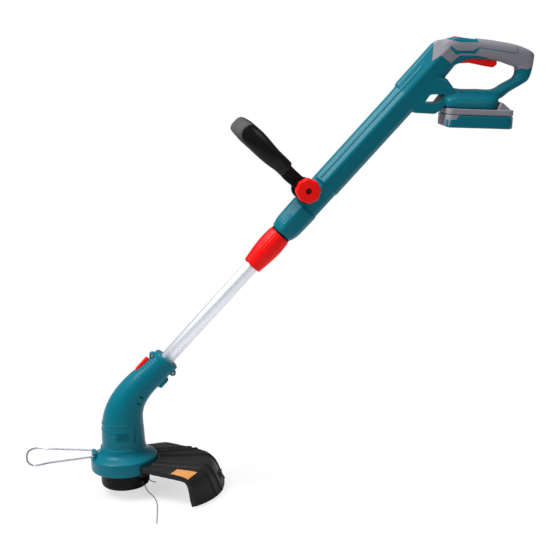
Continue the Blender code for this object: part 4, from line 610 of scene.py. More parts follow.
def fused(shapes, grain, rounds):
    """Overlapping closed shapes grown into one skin, its edges and inner corners softened."""
    thing = as_object(together(shapes))
    remesh = thing.modifiers.new("skin", "REMESH")
    remesh.mode = "VOXEL"
    remesh.voxel_size = grain * MM
    bm = taken_back(thing)
    for _ in range(rounds):
        bmesh.ops.smooth_vert(
            bm, verts=bm.verts, factor=0.5, use_axis_x=True, use_axis_y=True, use_axis_z=True
        )
    return bm


def pressed(bm, lines, width, depth, towards):
    """Presses soft grooves along lines, in the faces turned to one side. A minus depth raises."""
    towards = numpy.array(Vector(towards).normalized())
    verts = list(bm.verts)
    spots = numpy.array([v.co for v in verts])
    normals = numpy.array([v.normal for v in verts])
    spots -= numpy.outer(spots @ towards, towards)
    facing_it = normals @ towards > PRESSED_FACES
    share = numpy.zeros(len(verts))
    for line in lines:
        line = numpy.array([tuple(p) for p in line])
        line -= numpy.outer(line @ towards, towards)
        for start, end in zip(line, line[1:]):
            run = end - start
            along = numpy.clip((spots - start) @ run / max(run @ run, 1e-12), 0, 1)
            gap = numpy.linalg.norm(spots - start - numpy.outer(along, run), axis=1)
            share = numpy.maximum(share, numpy.clip(1.5 * (1 - gap / (width * MM)), 0, 1))
    share = numpy.where(facing_it, share * share * (3 - 2 * share), 0)
    for k in numpy.nonzero(share)[0]:
        verts[k].co -= Vector(normals[k]) * depth * MM * share[k]
    return bm


def patch(source, outlines, towards, thick, place=UPRIGHT):
    """A thin piece laid on a surface: its faces inside convex outlines, lifted and thickened.

    The outlines are in local X and Y of the place. The faces taken are those turned along its
    local Z, or against it where towards is -1.
    """
    inverse = place.inverted()
    sheets = []
    for outline in outlines:
        bm = source.copy()
        bm.transform(inverse)
        bm.normal_update()
        low = [min(p[k] for p in outline) * MM for k in range(2)]
        high = [max(p[k] for p in outline) * MM for k in range(2)]
        away = [
            f for f in bm.faces
            if f.normal.z * towards < PATCHED_FACES
            or any(all(v.co[k] < low[k] for v in f.verts) for k in range(2))
            or any(all(v.co[k] > high[k] for v in f.verts) for k in range(2))
        ]
        bmesh.ops.delete(bm, geom=away, context="FACES")
        for a, b in closed_pairs(outline):
            side = Vector((b[1] - a[1], a[0] - b[0], 0)) * winding(outline)
            bmesh.ops.bisect_plane(
                bm, geom=bm.verts[:] + bm.edges[:] + bm.faces[:], dist=1e-7,
                plane_co=(a[0] * MM, a[1] * MM, 0), plane_no=side, clear_outer=True,
            )
        sheets.append(bm)
    bm = together(sheets)
    bmesh.ops.remove_doubles(bm, verts=bm.verts, dist=WELD)
    bm.normal_update()
    for vert in bm.verts:
        vert.co += vert.normal * LIFT * MM
    bmesh.ops.solidify(bm, geom=bm.faces[:], thickness=thick * MM)
    bm.transform(place)
    return outward(bm)


def stripe(points, width):
    """A line of points as convex outlines, mitred where they meet."""
    points = [Vector(p) for p in points]
    edges = []
    for i, point in enumerate(points):
        before = (point - points[max(i - 1, 0)]).normalized() if i else None
        after = (points[i + 1] - point).normalized() if i < len(points) - 1 else None
        before, after = before or after, after or before
        across = Vector((-(before + after).y, (before + after).x)).normalized()
        square = Vector((-before.y, before.x))
        half = across * (width / 2 / max(across.dot(square), 0.4))
        edges.append((point + half, point - half))
    return [[a[0], a[1], b[1], b[0]] for a, b in zip(edges, edges[1:])]


def screw(name, head, direction, length, body, node):
    """A pan-head screw with a cross recess, by its head's outer face and the way it drives."""
    place = facing(head, -Vector(direction))
    profile = (
        (0, 0), (1.9, 0), (2.6, -0.3), (3, -0.9), (3, -2), (1.5, -2), (1.5, -length), (0, -length),
    )
    recess = (
        block((-1.7, -0.4, -1.2), (1.7, 0.4, 1), place),
        block((-0.4, -1.7, -1.2), (0.4, 1.7, 1), place),
    )
    piece(name, cut(turned(profile, place, 48), *recess), body, STEEL, node)


def screws(name, node, heads, direction, length, body):
    for number, head in enumerate(heads, 1):
        screw("%s_%d" % (name, number), head, direction, length, body, "%s_%d" % (node, number))


def piece(name, bm, body, finish, *replaced, slot=None):
    """A finished shape as a named piece that rides on its body and stands for its nodes."""
    mesh = as_mesh(name, bm)
    mesh.shade_smooth()
    mesh.set_sharp_from_angle(angle=SHARP_ANGLE)
    mesh.materials.append(finish)
    thing = placed(name, mesh)
    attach(thing, body)
    if replaced:
        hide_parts(*replaced)


# Line ends

LINE_RADIUS = 0.8
LINE_STEP = 4
LONG_CORNERS = (
    (26.4, -29.3, 15), (28.4, -31.6, 15), (30.5, -33.9, 14.7), (33.6, -37.6, 9), (37.5, -42, 1.5),
    (47, -54, -4.6), (51.5, -84, -5.1), (51, -118, -5.6), (49, -160, -7.5),
)
SHORT_CORNERS = (
    (-26.4, 29.3, 15), (-28.4, 31.6, 15), (-30.4, 33.9, 14.7), (-29.5, 38.6, 13.4), (-20, 46, 10.5),
    (0, 50.5, 7), (23, 44.5, 2), (38.5, 29.5, -3), (46, 18.5, -5), (52.5, 15.5, -5.6),
)


def line_route(corners):
    """Points about a step apart along a smooth curve through the corners, in metres."""
    corners = [Vector(c) for c in corners]
    padded = [2 * corners[0] - corners[1], *corners, 2 * corners[-1] - corners[-2]]
    dense = flowing(padded, 16)[16:-16]
    route, walked = [dense[0]], 0.0
    for start, end in zip(dense, dense[1:]):
        walked += (end - start).length
        if walked >= LINE_STEP:
            route.append(end)
            walked = 0.0
    route[-1] = dense[-1]
    return [p * MM for p in route]


def line_end(name, corners, node):
    route = line_route(corners)
    curve = bpy.data.curves.new(name, "CURVE")
    curve.dimensions = "3D"
    curve.bevel_depth = LINE_RADIUS * MM
    curve.bevel_resolution = 3
    curve.use_fill_caps = True
    spline = curve.splines.new("POLY")
    spline.points.add(len(route) - 1)
    for spot, point in zip(spline.points, route):
        spot.co = (*point, 1)
    spline.use_smooth = True
    curve.materials.append(NYLON)
    thing = placed(name, curve)
    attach(thing, "spool")
    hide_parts(node)


line_end("cutting_line_long", LONG_CORNERS, "line_end_long")
line_end("cutting_line_short", SHORT_CORNERS, "line_end_short")


# Housing

HOUSING_GRAIN = 0.9
FINE_GRAIN = 0.8
SKIN_ROUNDS = 7
SHAFT_STATIONS = (
    # along, top, bottom, half width
    (75, 18.6, 18.6, 18.6), (80, 20.8, 21, 20.6), (95, 23.4, 24, 22.2), (133, 24, 24.8, 22.5),
    (134.5, 24, 23.6, 19), (184.5, 24, 23.6, 19), (186, 24, 24.8, 22.5), (372, 24, 24.8, 22.5),
    (392, 27.4, 24, 22.5), (448, 28, 26.3, 22), (480, 28, 25, 21), (491, 24.6, 23.5, 19.5),
    (502, 15.5, 20, 17),
)
LOOP_STATIONS = (
    # inner edge x and z, outer edge x and z, half width
    (588.2, 664.5, 577.1, 642.3, 17), (605.4, 660.7, 605.4, 636.3, 19),
    (635.6, 658.9, 637.7, 634.3, 19), (661.7, 657.4, 671.0, 639.8, 18),
    (679.1, 666.1, 690.2, 651.9, 15), (695.8, 674.3, 711.4, 662.5, 13.5),
    (700.8, 681.2, 724.0, 670.6, 13), (701.6, 686.8, 730.6, 686.8, 13),
    (701.3, 692.1, 733.8, 703.4, 13.5), (696.2, 694.6, 732.6, 716.2, 14.5),
    (687.1, 698.1, 706.3, 729.2, 16), (671.0, 703.9, 674.0, 737.0, 17),
    (645.7, 707.6, 650.8, 741.3, 17), (622.5, 709.2, 625.5, 744.9, 17),
    (607.4, 704.3, 595.3, 748.6, 18.2), (597.3, 700.9, 572.0, 740.3, 19.2),
    (589.2, 698.9, 560.9, 728.7, 19.4),
)
FOOT_STATIONS = (
    # height in the pack's frame, front, rear, half width
    (32.0, -52, 27.5, 33), (34.5, -56, 29, 34), (43.0, -60, 33.6, 33.5), (49.0, -58, 34, 30),
    (54.0, -52, 37, 24), (62.0, -40, 44, 17),
)
GUSSET = (
    (518, 652), (516, 634), (523, 625.4), (558, 621.9), (566.5, 626.6), (580, 638), (602, 638),
    (606, 659.5), (592.5, 661.5), (579.4, 680.2), (560, 684),
)
COVER_REGION = (
    (566, 765), (559, 733), (554, 710), (569, 719), (588, 703.5), (600, 690), (696, 683),
    (708, 691), (720, 688), (742, 696), (751, 765),
)
PLATE_REGION = ((575, 765), (583.5, 745), (602, 739.5), (634, 737.5), (638, 765))
STRAP_SLOT = ((539.6, 641.2), (550.3, 655), (576, 654.3), (564.4, 640))
SKIN = 2.5
SEAM = 0.15


def shaft_rings(inset=0.0):
    last = SHAFT_STATIONS[-1][0] - inset
    rings = []
    for along, top, bottom, wide in flowing(SHAFT_STATIONS, 4, straight=(2, 3, 4, 5, 6)):
        along, top, bottom, wide = min(along, last), top - inset, bottom - inset, wide - inset
        side = [
            (top, 0.28 * wide), (top - 0.08 * wide, 0.42 * wide), (0.42 * wide, 0.95 * wide),
            (0.30 * wide, wide), (-0.50 * bottom, 0.93 * wide), (-0.68 * bottom, 0.85 * wide),
            (0.08 * wide - bottom, 0.46 * wide), (-bottom, 0.30 * wide),
        ]
        outline = [(top, 0.0), *side, (-bottom, 0.0), *((up, -y) for up, y in reversed(side))]
        rings.append([in_housing(along, up, y) for up, y in outline])
    return rings


def loop_rings(inset=0.0):
    rings = []
    for inner_x, inner_z, outer_x, outer_z, half_width in flowing(LOOP_STATIONS, 3):
        inner, outer = at(inner_x, 0, inner_z), at(outer_x, 0, outer_z)
        reach = (outer - inner) / 2
        reach = reach * (1 - inset * MM / reach.length)
        outline = squircle(half_width - inset, 1.0, 2.7, 40, math.pi / 2)
        middle = (inner + outer) / 2
        rings.append([middle + reach * high + at(0, y, 0) for y, high in outline])
    return rings


def foot_rings(grown=0.0):
    rings = []
    for height, front, rear, half_width in flowing(FOOT_STATIONS, 3):
        outline = squircle((rear - front) / 2 + grown, half_width + grown, 5, 48)
        middle = (rear + front) / 2
        rings.append([pack_frame() @ at(x + middle, y, height) for x, y in outline])
    return rings


def side_prism(outline, half, grown=0.0, edge=0.0):
    """A prism across the trimmer from an outline in X and Z."""
    points = [Vector(p) for p in outline]
    if grown:
        moved = []
        for i, point in enumerate(points):
            before = (point - points[i - 1]).normalized()
            after = (points[(i + 1) % len(points)] - point).normalized()
            out = Vector((before.y + after.y, -before.x - after.x)) * winding(points)
            moved.append(point + out / max(1 + before.dot(after), 0.3) * grown)
        points = moved
    return prism(points, -half, half, across_frame(), edge)


def bore(radius, start, end):
    """A round hole between two points."""
    length = (end - start).length / MM
    return rod(radius, 0, length, facing(start, end - start))


def half_of(bm, side):
    """The left or right half of a closed shape, a hair short of the middle."""
    low, high = sorted((side * SEAM, side * 200))
    return within(bm, block((-400, low, -100), (900, high, 900)))


LOCK_OFF = Matrix.Translation(at(602.5, 0, 745.82)) @ turn_by(10.3, "Y")
LOCK_OFF_ROOM = ((-7.3, -5.3, -8.3), (7.3, 5.3, 20), LOCK_OFF)
TRIGGER_ROOM = ((600.3, 680), (671.4, 680), (671.4, 718), (600.3, 718))
TRIGGER_ROOM_HALF = 7.3
PACK_ROOM = ((-50.6, -20.3, 21.7), (45, 20.3, 43))
TUBE_ROOM_RADIUS = 17
BOLT_HOLE_RADIUS = 4.3
SCREW_ROOM = (3.3, -2.3)


def handle_rooms(bm):
    """The trigger's slot and the lock-off button's pocket."""
    return cut(bm, side_prism(TRIGGER_ROOM, TRIGGER_ROOM_HALF), block(*LOCK_OFF_ROOM))


full = fused(
    [
        lofted(shaft_rings()), lofted(loop_rings()), lofted(foot_rings()),
        side_prism(GUSSET, 20.5, 0, 3), rod(13, -19.1, 19.1, BOLT_ACROSS, 1),
    ],
    HOUSING_GRAIN, SKIN_ROUNDS,
)
core = fused([lofted(shaft_rings(SKIN)), lofted(loop_rings(SKIN))], HOUSING_GRAIN, SKIN_ROUNDS)
cover = within(full.copy(), side_prism(COVER_REGION, THROUGH))
cover_room = cut(side_prism(COVER_REGION, THROUGH, GAP), core.copy())
cover = cut(cover, core, side_prism(PLATE_REGION, THROUGH, GAP))
cover = cut(handle_rooms(cover), lofted(foot_rings(GAP)))
plate = within(full.copy(), side_prism(PLATE_REGION, THROUGH))
plate = cut(plate, block(*LOCK_OFF_ROOM))
housing = cut(
    full, cover_room, side_prism(PLATE_REGION, THROUGH, GAP),
    side_prism(eased(STRAP_SLOT, 2.5), THROUGH),
    bore(TUBE_ROOM_RADIUS, in_housing(70), in_housing(345)),
)
housing = cut(
    handle_rooms(housing), block(*PACK_ROOM, pack_frame()),
    rod(BOLT_HOLE_RADIUS, -THROUGH, THROUGH, BOLT_ACROSS),
)

HOUSING_SCREWS = (
    in_housing(362, 14, 11), in_housing(428, -12, 11), at(715, 11, 684), at(644, 12, 649),
)
housing = cut(housing, *(rod(*SCREW_ROOM, 14, facing(h, (0, 1, 0))) for h in HOUSING_SCREWS))

NOSE_RIBS = [(in_housing(a, 10), in_housing(a, 15)) for a in range(90, 112, 4)]
BEAD = [[in_housing(a, 17.4) for a in (192, 440)]]
RIB_SIZE, BEAD_SIZE, RING_SIZE = (1.4, -0.6), (1.5, -0.7), (1.5, -0.8)
for side in (LEFT, RIGHT):
    housing.normal_update()
    pressed(housing, NOSE_RIBS, *RIB_SIZE, (0, side, 0))
    pressed(housing, BEAD, *BEAD_SIZE, (0, side, 0))

STRIPE_CELLS = (
    ((585.9, 733.4), (588.6, 733.3), (595.7, 726), (595, 719.1), (586.5, 727.7)),
    ((595.7, 726), (603.6, 725), (603.6, 720.4), (597.6, 719), (595, 719.1)),
    ((603.6, 725), (625.3, 724), (629.2, 718.6), (603.6, 720.4)),
    ((625.3, 724), (631.3, 727.6), (633.2, 724.3), (629.2, 718.6)),
    ((631.3, 727.6), (635.9, 729.3), (636.5, 727.3), (633.2, 724.3)),
)
STRIPE_TAIL = (
    (635.9, 728.4), (660.3, 723.8), (694.8, 716.9), (700.1, 716.7), (702.5, 719.3), (701.7, 726.7)
)
COVER_HEM = (
    # upper edge x and z, depth
    (587.6, 706, 12), (600.9, 716.4, 14), (607.5, 717.3, 14), (631.2, 715.5, 14),
    (647, 711.8, 12), (665.6, 704.5, 0.5),
)
inlay = [list(c) for c in STRIPE_CELLS] + stripe(STRIPE_TAIL, 1.4)
hem = [
    [(a[0], a[1]), (b[0], b[1]), (b[0], b[1] - b[2]), (a[0], a[1] - a[2])]
    for a, b in zip(COVER_HEM, COVER_HEM[1:])
]
for side, name in SIDES:
    for label, cells, thick in (("inlay_", inlay, 0.35), ("hem_", hem, 0.3)):
        band = patch(cover, cells, -side, thick, across_frame())
        piece("grip_" + label + name, band, "housing", SHELL)

screws("clamshell_screw", "housing_screw", HOUSING_SCREWS, (0, -1, 0), 18, "housing")
for side, name in SIDES:
    shell, skin = half_of(housing.copy(), side), half_of(cover.copy(), side)
    piece("housing_shell_" + name, shell, "housing", SHELL, "housing_" + name)
    piece("grip_cover_" + name + "_skin", skin, "housing", GREY, "grip_cover_" + name)
plate.normal_update()
dip = [[at(x, 0, 745) for x in (588, 634)]]
pressed(plate, dip, 10, 2.0, (0, 0, 1))
piece("top_plate_shell", plate, "housing", SHELL, "top_plate")


# Trigger and lock-off button

TRIGGER_OUTLINE = (
    (602, 703.3), (620.4, 703.6), (650.1, 696.2), (661.7, 693.9), (668.8, 698.6), (668.8, 705.2),
    (620.6, 712.6), (612.6, 716.7), (604.6, 716.7), (602, 712.2),
)
trigger = prism(eased(TRIGGER_OUTLINE, 2), -7, 7, across_frame(), 1.0, 4)
piece("trigger_lever", trigger, "trigger", RED, "trigger")
lock_off = block((-7, -5, -5.5), (7, 5, 1.9), LOCK_OFF, 1.3, 4)
piece("lock_off_cap", lock_off, "lock_off_button", RED, "lock_off_button")


# Collar, seal and tube

COLLAR_OUTSIDE = (
    (18.6, 72), (19.6, 70.5), (20.6, 65), (21.4, 50.4), (21.0, 38.2), (20.3, 28.1), (18.0, 10.1),
    (16.8, 1.5), (15.8, 0),
)
COLLAR_INSIDE = (
    (12.8, 0), (12.8, 5.7), (14.9, 5.7), (14.9, 27.7), (17, 27.7), (17, 72),
)
FLUTES = 24
FLUTE_DEPTH = 0.4
FLUTES_LOW, FLUTES_HIGH = 30, 70
SEAL = ((17.2, 72.3), (18.5, 72.3), (18.8, 72.6), (18.8, 74.4), (18.5, 74.7), (17.2, 74.7))
TUBE = ((11.3, 74), (12.3, 74), (12.5, 74.3), (12.5, 522.7), (12.3, 523), (11.3, 523))

collar_place = shaft_frame(COLLAR_START)
collar_profile = [*(tuple(p) for p in flowing(COLLAR_OUTSIDE, 5)), *COLLAR_INSIDE]
collar = turned(collar_profile, collar_place, 240)
inverse = collar_place.inverted()
for vert in collar.verts:
    spot = inverse @ vert.co
    radius, high = spot.xy.length / MM, spot.z / MM
    if radius < 17.5 or not FLUTES_LOW < high < FLUTES_HIGH:
        continue
    rise = min((high - FLUTES_LOW) / 6, (FLUTES_HIGH - high) / 4, 1)
    wave = max(math.cos(FLUTES * math.atan2(spot.y, spot.x)), 0)
    spot.xy *= 1 - FLUTE_DEPTH * rise * wave / radius
    vert.co = collar_place @ spot
piece("twist_collar", collar, "collar", RED, "lock_collar")
piece("collar_seal_ring", turned(SEAL, collar_place), "housing", BLACK, "collar_seal",
      slot="black_rubber")
piece("inner_tube", turned(TUBE, shaft_frame(), 128), "lower_tube", ALUMINIUM, "lower_tube")


# Auxiliary handle

LOOP_PATH = (
    # side, height over the bolt, half depth, shift up the shaft
    (25.4, -2, 11, 0), (25.4, 20, 11.6, -0.8), (27.07, 36, 12.2, -1.2), (29.29, 47, 12.2, -0.5),
    (29.85, 50, 11.4, 1.4), (33.05, 64, 11.6, 2), (37.63, 82, 12.9, 1.3), (39.3, 101, 14.4, 2.2),
    (39.8, 121, 15.2, 3.4), (37.8, 137.3, 14.9, 3), (33.3, 146.3, 13.6, 2.5), (23.3, 151.8, 12, 2),
    (11.79, 153.3, 11.2, 1.5),
)
HALF_BAR = 5.9
GRIP_RUBBER = 2.8
HUB_RADIUS = 19


def bar(extra=0.0, lowest=-99.0, power=4):
    """The handle's bar, as far down both arms as its lowest point."""
    arm = flowing(LOOP_PATH, 4)
    path = arm + [Vector((-p[0], *p[1:])) for p in reversed(arm)]
    rings = []
    for i, (side, high, deep, shift) in enumerate(path):
        if high < lowest:
            continue
        before, after = beside(path, i)
        ahead = Vector((after[0] - before[0], after[1] - before[1])).normalized()
        outline = squircle(deep + extra, HALF_BAR + extra, power, 48)
        rings.append([
            clamp_frame() @ at(x + shift, side + y * ahead.y, high - y * ahead.x)
            for x, y in outline
        ])
    return lofted(rings)


hub_place = across_frame(in_housing(155.6, 21.1))
hubs = [rod(HUB_RADIUS, *ends, hub_place, 1.5) for ends in ((19.4, 31.4), (-31.4, -19.4))]
handle = fused([bar(), *hubs], HOUSING_GRAIN, 3)
piece("front_handle_frame", handle, "aux_handle", BLACK, "aux_handle_frame")
INLAY = ((-12, 56), (-9, 49), (40, 49), (40, 126), (14, 147), (5, 149), (-4, 147), (-11, 138),
         (-12.6, 108))
inlay_place = clamp_frame() @ Matrix.Rotation(math.pi / 2, 4, "X")
sleeve = soften(bar(GRIP_RUBBER, 50, 2.7), 1.0, 3, 60)
inlay_room = prism(eased(INLAY, 8, 8), -70, 70, inlay_place)
inlays = within(sleeve.copy(), inlay_room.copy())
inlays = cut(inlays, block((-60, -18, 0), (60, 18, 200), clamp_frame()))
sleeve = cut(sleeve, cut(inlay_room, block((-60, -18, -20), (60, 18, 250), clamp_frame())))
for side, name in SIDES:
    ribs = [c for h in (86, 90, 94) for c in stripe(((-3, h), (9, h + 1)), 1.5)]
    ribs = patch(inlays, ribs, -side, 0.45, inlay_place)
    piece("front_grip_ribs_" + name, ribs, "aux_handle", RUBBER)
piece("front_grip_inlays", inlays, "aux_handle", RUBBER, "aux_handle_grip")
piece("front_grip_sleeve", sleeve, "aux_handle", PAD)


# Clamp knob

KNOB_RADIUS = 21
KNOB_ENDS = (31.8, 51.8)
KNOB_BORES = ((5.2, 42.8, 60), (BOLT_HOLE_RADIUS, 25, 50), (7.3, 25, 38.4))
KNOB_LOBES = 8
KNOB_POINTS = 160
LOBE_DEPTH = 1.3
BOLT = (
    (0, 44.8), (3.4, 44.8), (4, 44.2), (4, -31.7), (7, -31.7), (7, -35.2), (5, -36.7), (0, -36.7),
)


def knob_outline():
    points = []
    for i in range(KNOB_POINTS):
        angle = 2 * math.pi * i / KNOB_POINTS
        radius = KNOB_RADIUS - LOBE_DEPTH * (1 - math.cos(KNOB_LOBES * angle)) / 2
        points.append((radius * math.cos(angle), radius * math.sin(angle)))
    return points


knob = prism(knob_outline(), *KNOB_ENDS, BOLT_ACROSS, 3.2, 5)
knob = cut(knob, *(rod(*sizes, BOLT_ACROSS) for sizes in KNOB_BORES))
piece("clamp_knob_cap", knob, "knob", RED, "clamp_knob")
piece("handle_bolt", turned(BOLT, BOLT_ACROSS, 48), "housing", DARK_STEEL, "pivot_bolt")


# Battery

PACK_OUTLINE = eased(((-57, -37), (57, -37), (57, 37), (-57, 37)), 9, 8)
PANEL = (
    ((-54, 0.3), (-52.5, 13.2), (-42.6, 14), (52.9, 14), (53.6, 7.1), (49.6, 0.3)),
    ((-42.6, 14), (-39.1, 20.4), (-35.8, 21.5), (49.1, 21.5), (52.2, 17.3), (52.9, 14)),
)
PANEL_CORNER = ((0.3, 34.7), (0.3, 22), (13.2, 25), (13.2, 34.7))
WEDGE = (
    (28.3, 31.2), (56.5, 25.7), (55, 29.7), (38, 43.5), (35, 44.5), (34.3, 43), (29.8, 34.5),
)
LATCH = ((39, 33.2), (48, 33.2), (48, 37.7), (39, 44))
LATCH_ROOM = ((38.7, 30.4), (48.3, 30.4), (48.3, 32.9), (60, 32.9), (60, 60), (38.7, 60))

lower_case = prism(PACK_OUTLINE, 0, 22, pack_frame(), 3.2, 6)
for side, name in SIDES:
    panel = patch(lower_case, PANEL, -side, 0.4, PACK_ACROSS)
    corner = patch(lower_case, [[(x, side * y) for x, y in PANEL_CORNER]], 1, 0.4, PACK_FRONT)
    piece("battery_panel_" + name, together([panel, corner]), "battery", SHELL)
piece("battery_case_lower", lower_case, "battery", GREY, "battery_lower_case")
upper_case = fused(
    [
        prism(PACK_OUTLINE, 22.3, 31.7, pack_frame(), 1.0),
        block((-38, -20, 29.7), (37, 20, 42.7), pack_frame()),
        prism(WEDGE, -33, 33, PACK_ACROSS, 1),
    ],
    FINE_GRAIN, 2,
)
upper_case = cut(upper_case, prism(LATCH_ROOM, -12.3, 12.3, PACK_ACROSS))
piece("battery_case_upper", upper_case, "battery", GREY, "battery_upper_case")
latch = prism(eased(LATCH, 1.2), -12, 12, PACK_ACROSS, 0.8)
piece("release_button", latch, "battery_latch", RED, "battery_latch")


# Trimmer head

HEAD_STATIONS = (
    # centre x and z, lean, half depth, half width; mm and degrees
    (1.2, 50, 0, 37.3, 37.8), (1.2, 78, 0, 37.3, 37.5), (1.2, 100, 0, 36.8, 36.8),
    (2.1, 120, 5, 35.4, 35.3), (7, 140.5, 17, 32.4, 33), (18.6, 162.2, 32, 28.6, 30),
    (38, 184, 43, 25.5, 27), (60, 202, 45, 23.5, 23.5), (85.56, 225.06, 45, 21.8, 21.8),
)
FLANGE = (
    (0, 76.5), (38.4, 76.5), (39.6, 75.6), (39.6, 72), (41.4, 67.4), (45, 63.6), (55.5, 58.2),
    (57.5, 56.2), (57.5, 36.5), (55.6, 34), (46, 34), (46, 40.5), (0, 40.5),
)
WIRE_LUG = (
    (-55.5, 57), (-45, 57), (-46, 65), (-48, 68.5), (-51, 69.5), (-54, 68.5), (-55.5, 65),
)


def head_rings():
    rings = []
    for x, z, lean, deep, wide in flowing(HEAD_STATIONS, 6):
        lean = math.radians(lean)
        across = at(math.cos(lean), 0, -math.sin(lean))
        outline = squircle(deep, wide, 2.15, 72)
        rings.append([at(x, 0, z) + across * p + at(0, q, 0) for p, q in outline])
    return rings


EARS_ALONG = 108.5
EAR_UPS = (23.2, -23.2)
EAR_SCREW_UPS = (23.8, -23.8)
EAR_SCREW_SIDE = -7
MOUTH = ((0, 112), (22.6, 112), (23.4, 113), (23.4, 119.6), (22.6, 120.8), (0, 120.8))
NECK_RIBS = [(along_shaft(58 + 6 * k, 13.5), along_shaft(60 + 6 * k, 20.5)) for k in range(9)]
RINGS = [[at(x, 0, z) for x in range(-40, 12, 4)] for z in (120, 109)]
TUBE_BORE_RADIUS = 12.8
MOTOR_ROOM = ((0, 80), (25, 80), (25, 43), (0, 43))
BUTTON_ROOM = ((-40, -6.3, 70.2), (-16.9, 6.3, 99.8))
BUTTON = ((-29.3, -6, 70.5), (-20.2, 6, 99.5))
VENT_HEIGHTS = (94.5, 97, 99.5, 102, 104.5)
VENT_HALF_HEIGHT = 0.45
BEND_SLOTS = (((33.7, 169), (40.9, 163.3)), ((29.1, 156.8), (34.6, 153)))


def head_vents():
    """The slots of the left side, as one shape to cut with."""
    vents = [
        block((-13, -THROUGH, z - VENT_HALF_HEIGHT), (11, -34.6, z + VENT_HALF_HEIGHT))
        for z in VENT_HEIGHTS
    ]
    vents.append(block((21.5, -THROUGH, 92), (22.5, -29.3, 115)))
    vents.append(rod(1.3, 29.6, THROUGH, across_frame((0.0205, 0, 0.0905))))
    for (ax, az), (bx, bz) in BEND_SLOTS:
        outline = ((ax - 0.6, az - 0.9), (bx - 0.6, bz - 0.9), (bx + 0.6, bz + 0.9),
                   (ax + 0.6, az + 0.9))
        vents.append(cut(side_prism(outline, THROUGH), block((0, -17, 100), (80, 90, 200))))
    return together(vents)


ears = [rod(5.5, -8, 8, across_frame(along_shaft(EARS_ALONG, up)), 0.8) for up in EAR_UPS]
head = fused(
    [
        lofted(head_rings()), turned(FLANGE, steps=160),
        prism(WIRE_LUG, -13, 13, WIRE_TURN @ across_frame(), 0.8), *ears,
        turned(MOUTH, shaft_frame()), block((17, -8, 74), (27, 8, 95), shaft_frame(), 2.5),
    ],
    FINE_GRAIN, SKIN_ROUNDS,
)
head.normal_update()
for side in (LEFT, RIGHT):
    pressed(head, NECK_RIBS, *RIB_SIZE, (0, side, 0))
    pressed(head, RINGS, *RING_SIZE, (0, side, 0))
    vents = head_vents()
    if side == RIGHT:
        vents.transform(Matrix.Scale(-1, 4, (0, 1, 0)))
        bmesh.ops.reverse_faces(vents, faces=vents.faces)
    head = cut(head, vents)
ear_screws = [along_shaft(EARS_ALONG, up, EAR_SCREW_SIDE) for up in EAR_SCREW_UPS]
head = cut(
    head, bore(TUBE_BORE_RADIUS, along_shaft(72), along_shaft(135)),
    block(*BUTTON_ROOM, shaft_frame()), turned(MOTOR_ROOM, steps=48),
    *(rod(*SCREW_ROOM, 5, facing(spot, (0, -1, 0))) for spot in ear_screws),
)
for side, name in SIDES:
    piece("head_shell_" + name, half_of(head.copy(), side), "head", SHELL, "head_" + name)
button = block(*BUTTON, shaft_frame(), 1.6, 4)
piece("head_lock_cap", button, "head_lock_button", RED, "head_lock_button")


# Spool

SPOOL = (
    (39.5, 37), (42, 34.5), (42, 12), (41.6, 9), (39, 9), (39, 34), (8.3, 34), (8.3, 37),
)
CAP = (
    (41.5, 8.7), (40.4, 6.4), (38, 4.4), (34, 2.9), (28, 1.9), (20.4, 1.4), (20.4, 8.7),
)
BUMP = (
    (0, 8.7), (14, 8.7), (14, 7), (20, 7), (20, 2), (19.4, 0.6), (18, 0), (0, 0),
)
EYELET = (
    (4.5, 2), (4.9, 1.4), (4.9, 0.3), (3.3, 0.3), (3.3, -3), (1.3, -3), (1.3, 1.2), (2.1, 2),
)
EYELETS = (("first", "line_eyelet_1", -48), ("second", "line_eyelet_2", 132))
EYELET_HEIGHT = 15
EYELET_HOLE_RADIUS = 3.6
SPOOL_RADIUS = 42
MARK = ((1.3, 39), (2.1, 39), (2.1, 45), (1.3, 45))


def from_axis(radius, angle, height):
    """The point at a radius and an angle round the spool's axis, in metres."""
    turn = math.radians(angle)
    return at(radius * math.cos(turn), radius * math.sin(turn), height)


spool = turned(SPOOL, steps=160)
for name, node, angle in EYELETS:
    inner, outer = (from_axis(r, angle, EYELET_HEIGHT) for r in (30, 50))
    spool = cut(spool, bore(EYELET_HOLE_RADIUS, inner, outer))
    place = facing(from_axis(SPOOL_RADIUS, angle, EYELET_HEIGHT), outer - inner)
    piece("line_eyelet_" + name, turned(EYELET, place, 48), "spool", DARK_STEEL, node)
spool = cut(spool, turned(MARK, across_frame((0.0133, 0, 0.0145)), 32))
piece("spool_shell", spool, "spool", BLACK, "spool_housing")
piece("spool_cap_ring", turned(CAP, steps=160), "spool", BLACK, "spool_cap")
piece("bump_knob", turned(BUMP, steps=128), "bump", BLACK, "bump_button")


# Guard

GUARD_TOP_LINE = (
    (57.8, 50), (100, 47.5), (138, 45), (148.5, 42), (156, 35), (162, 23), (167.5, 7),
    (171.5, -1.6), (173, -4.6),
)
GUARD_THICKNESS = 2.6
GUARD_NEAR = ((27.7, -54.4), (160.2, -142.1))
GUARD_FAR = ((20, 60), (75, 75), (150, 15), (220, 22))
TAG = (((77.7, -84.2), (89.6, -66.3), (122.5, -79.8), (105.5, -105.0)),)
GUARD_SCREW_RADIUS, GUARD_SCREW_HEIGHT = 52.3, 28.8
GUARD_SCREW_ANGLES = (-38, 18)
GUARD_RIBS = (
    ((58.5, 36), (128, 40)), ((58.5, 18), (142, 34)), ((60, -1), (152, 2)), ((57, -27), (140, -46)),
    ((50, -42), (134, -68)),
)


def line_offset(line, by):
    """An open line of radius and height moved inwards by a distance."""
    moved = []
    for i, point in enumerate(line):
        before, after = beside(line, i)
        ahead = (Vector(after) - Vector(before)).normalized()
        moved.append(Vector(point) + Vector((ahead.y, -ahead.x)) * by)
    return moved


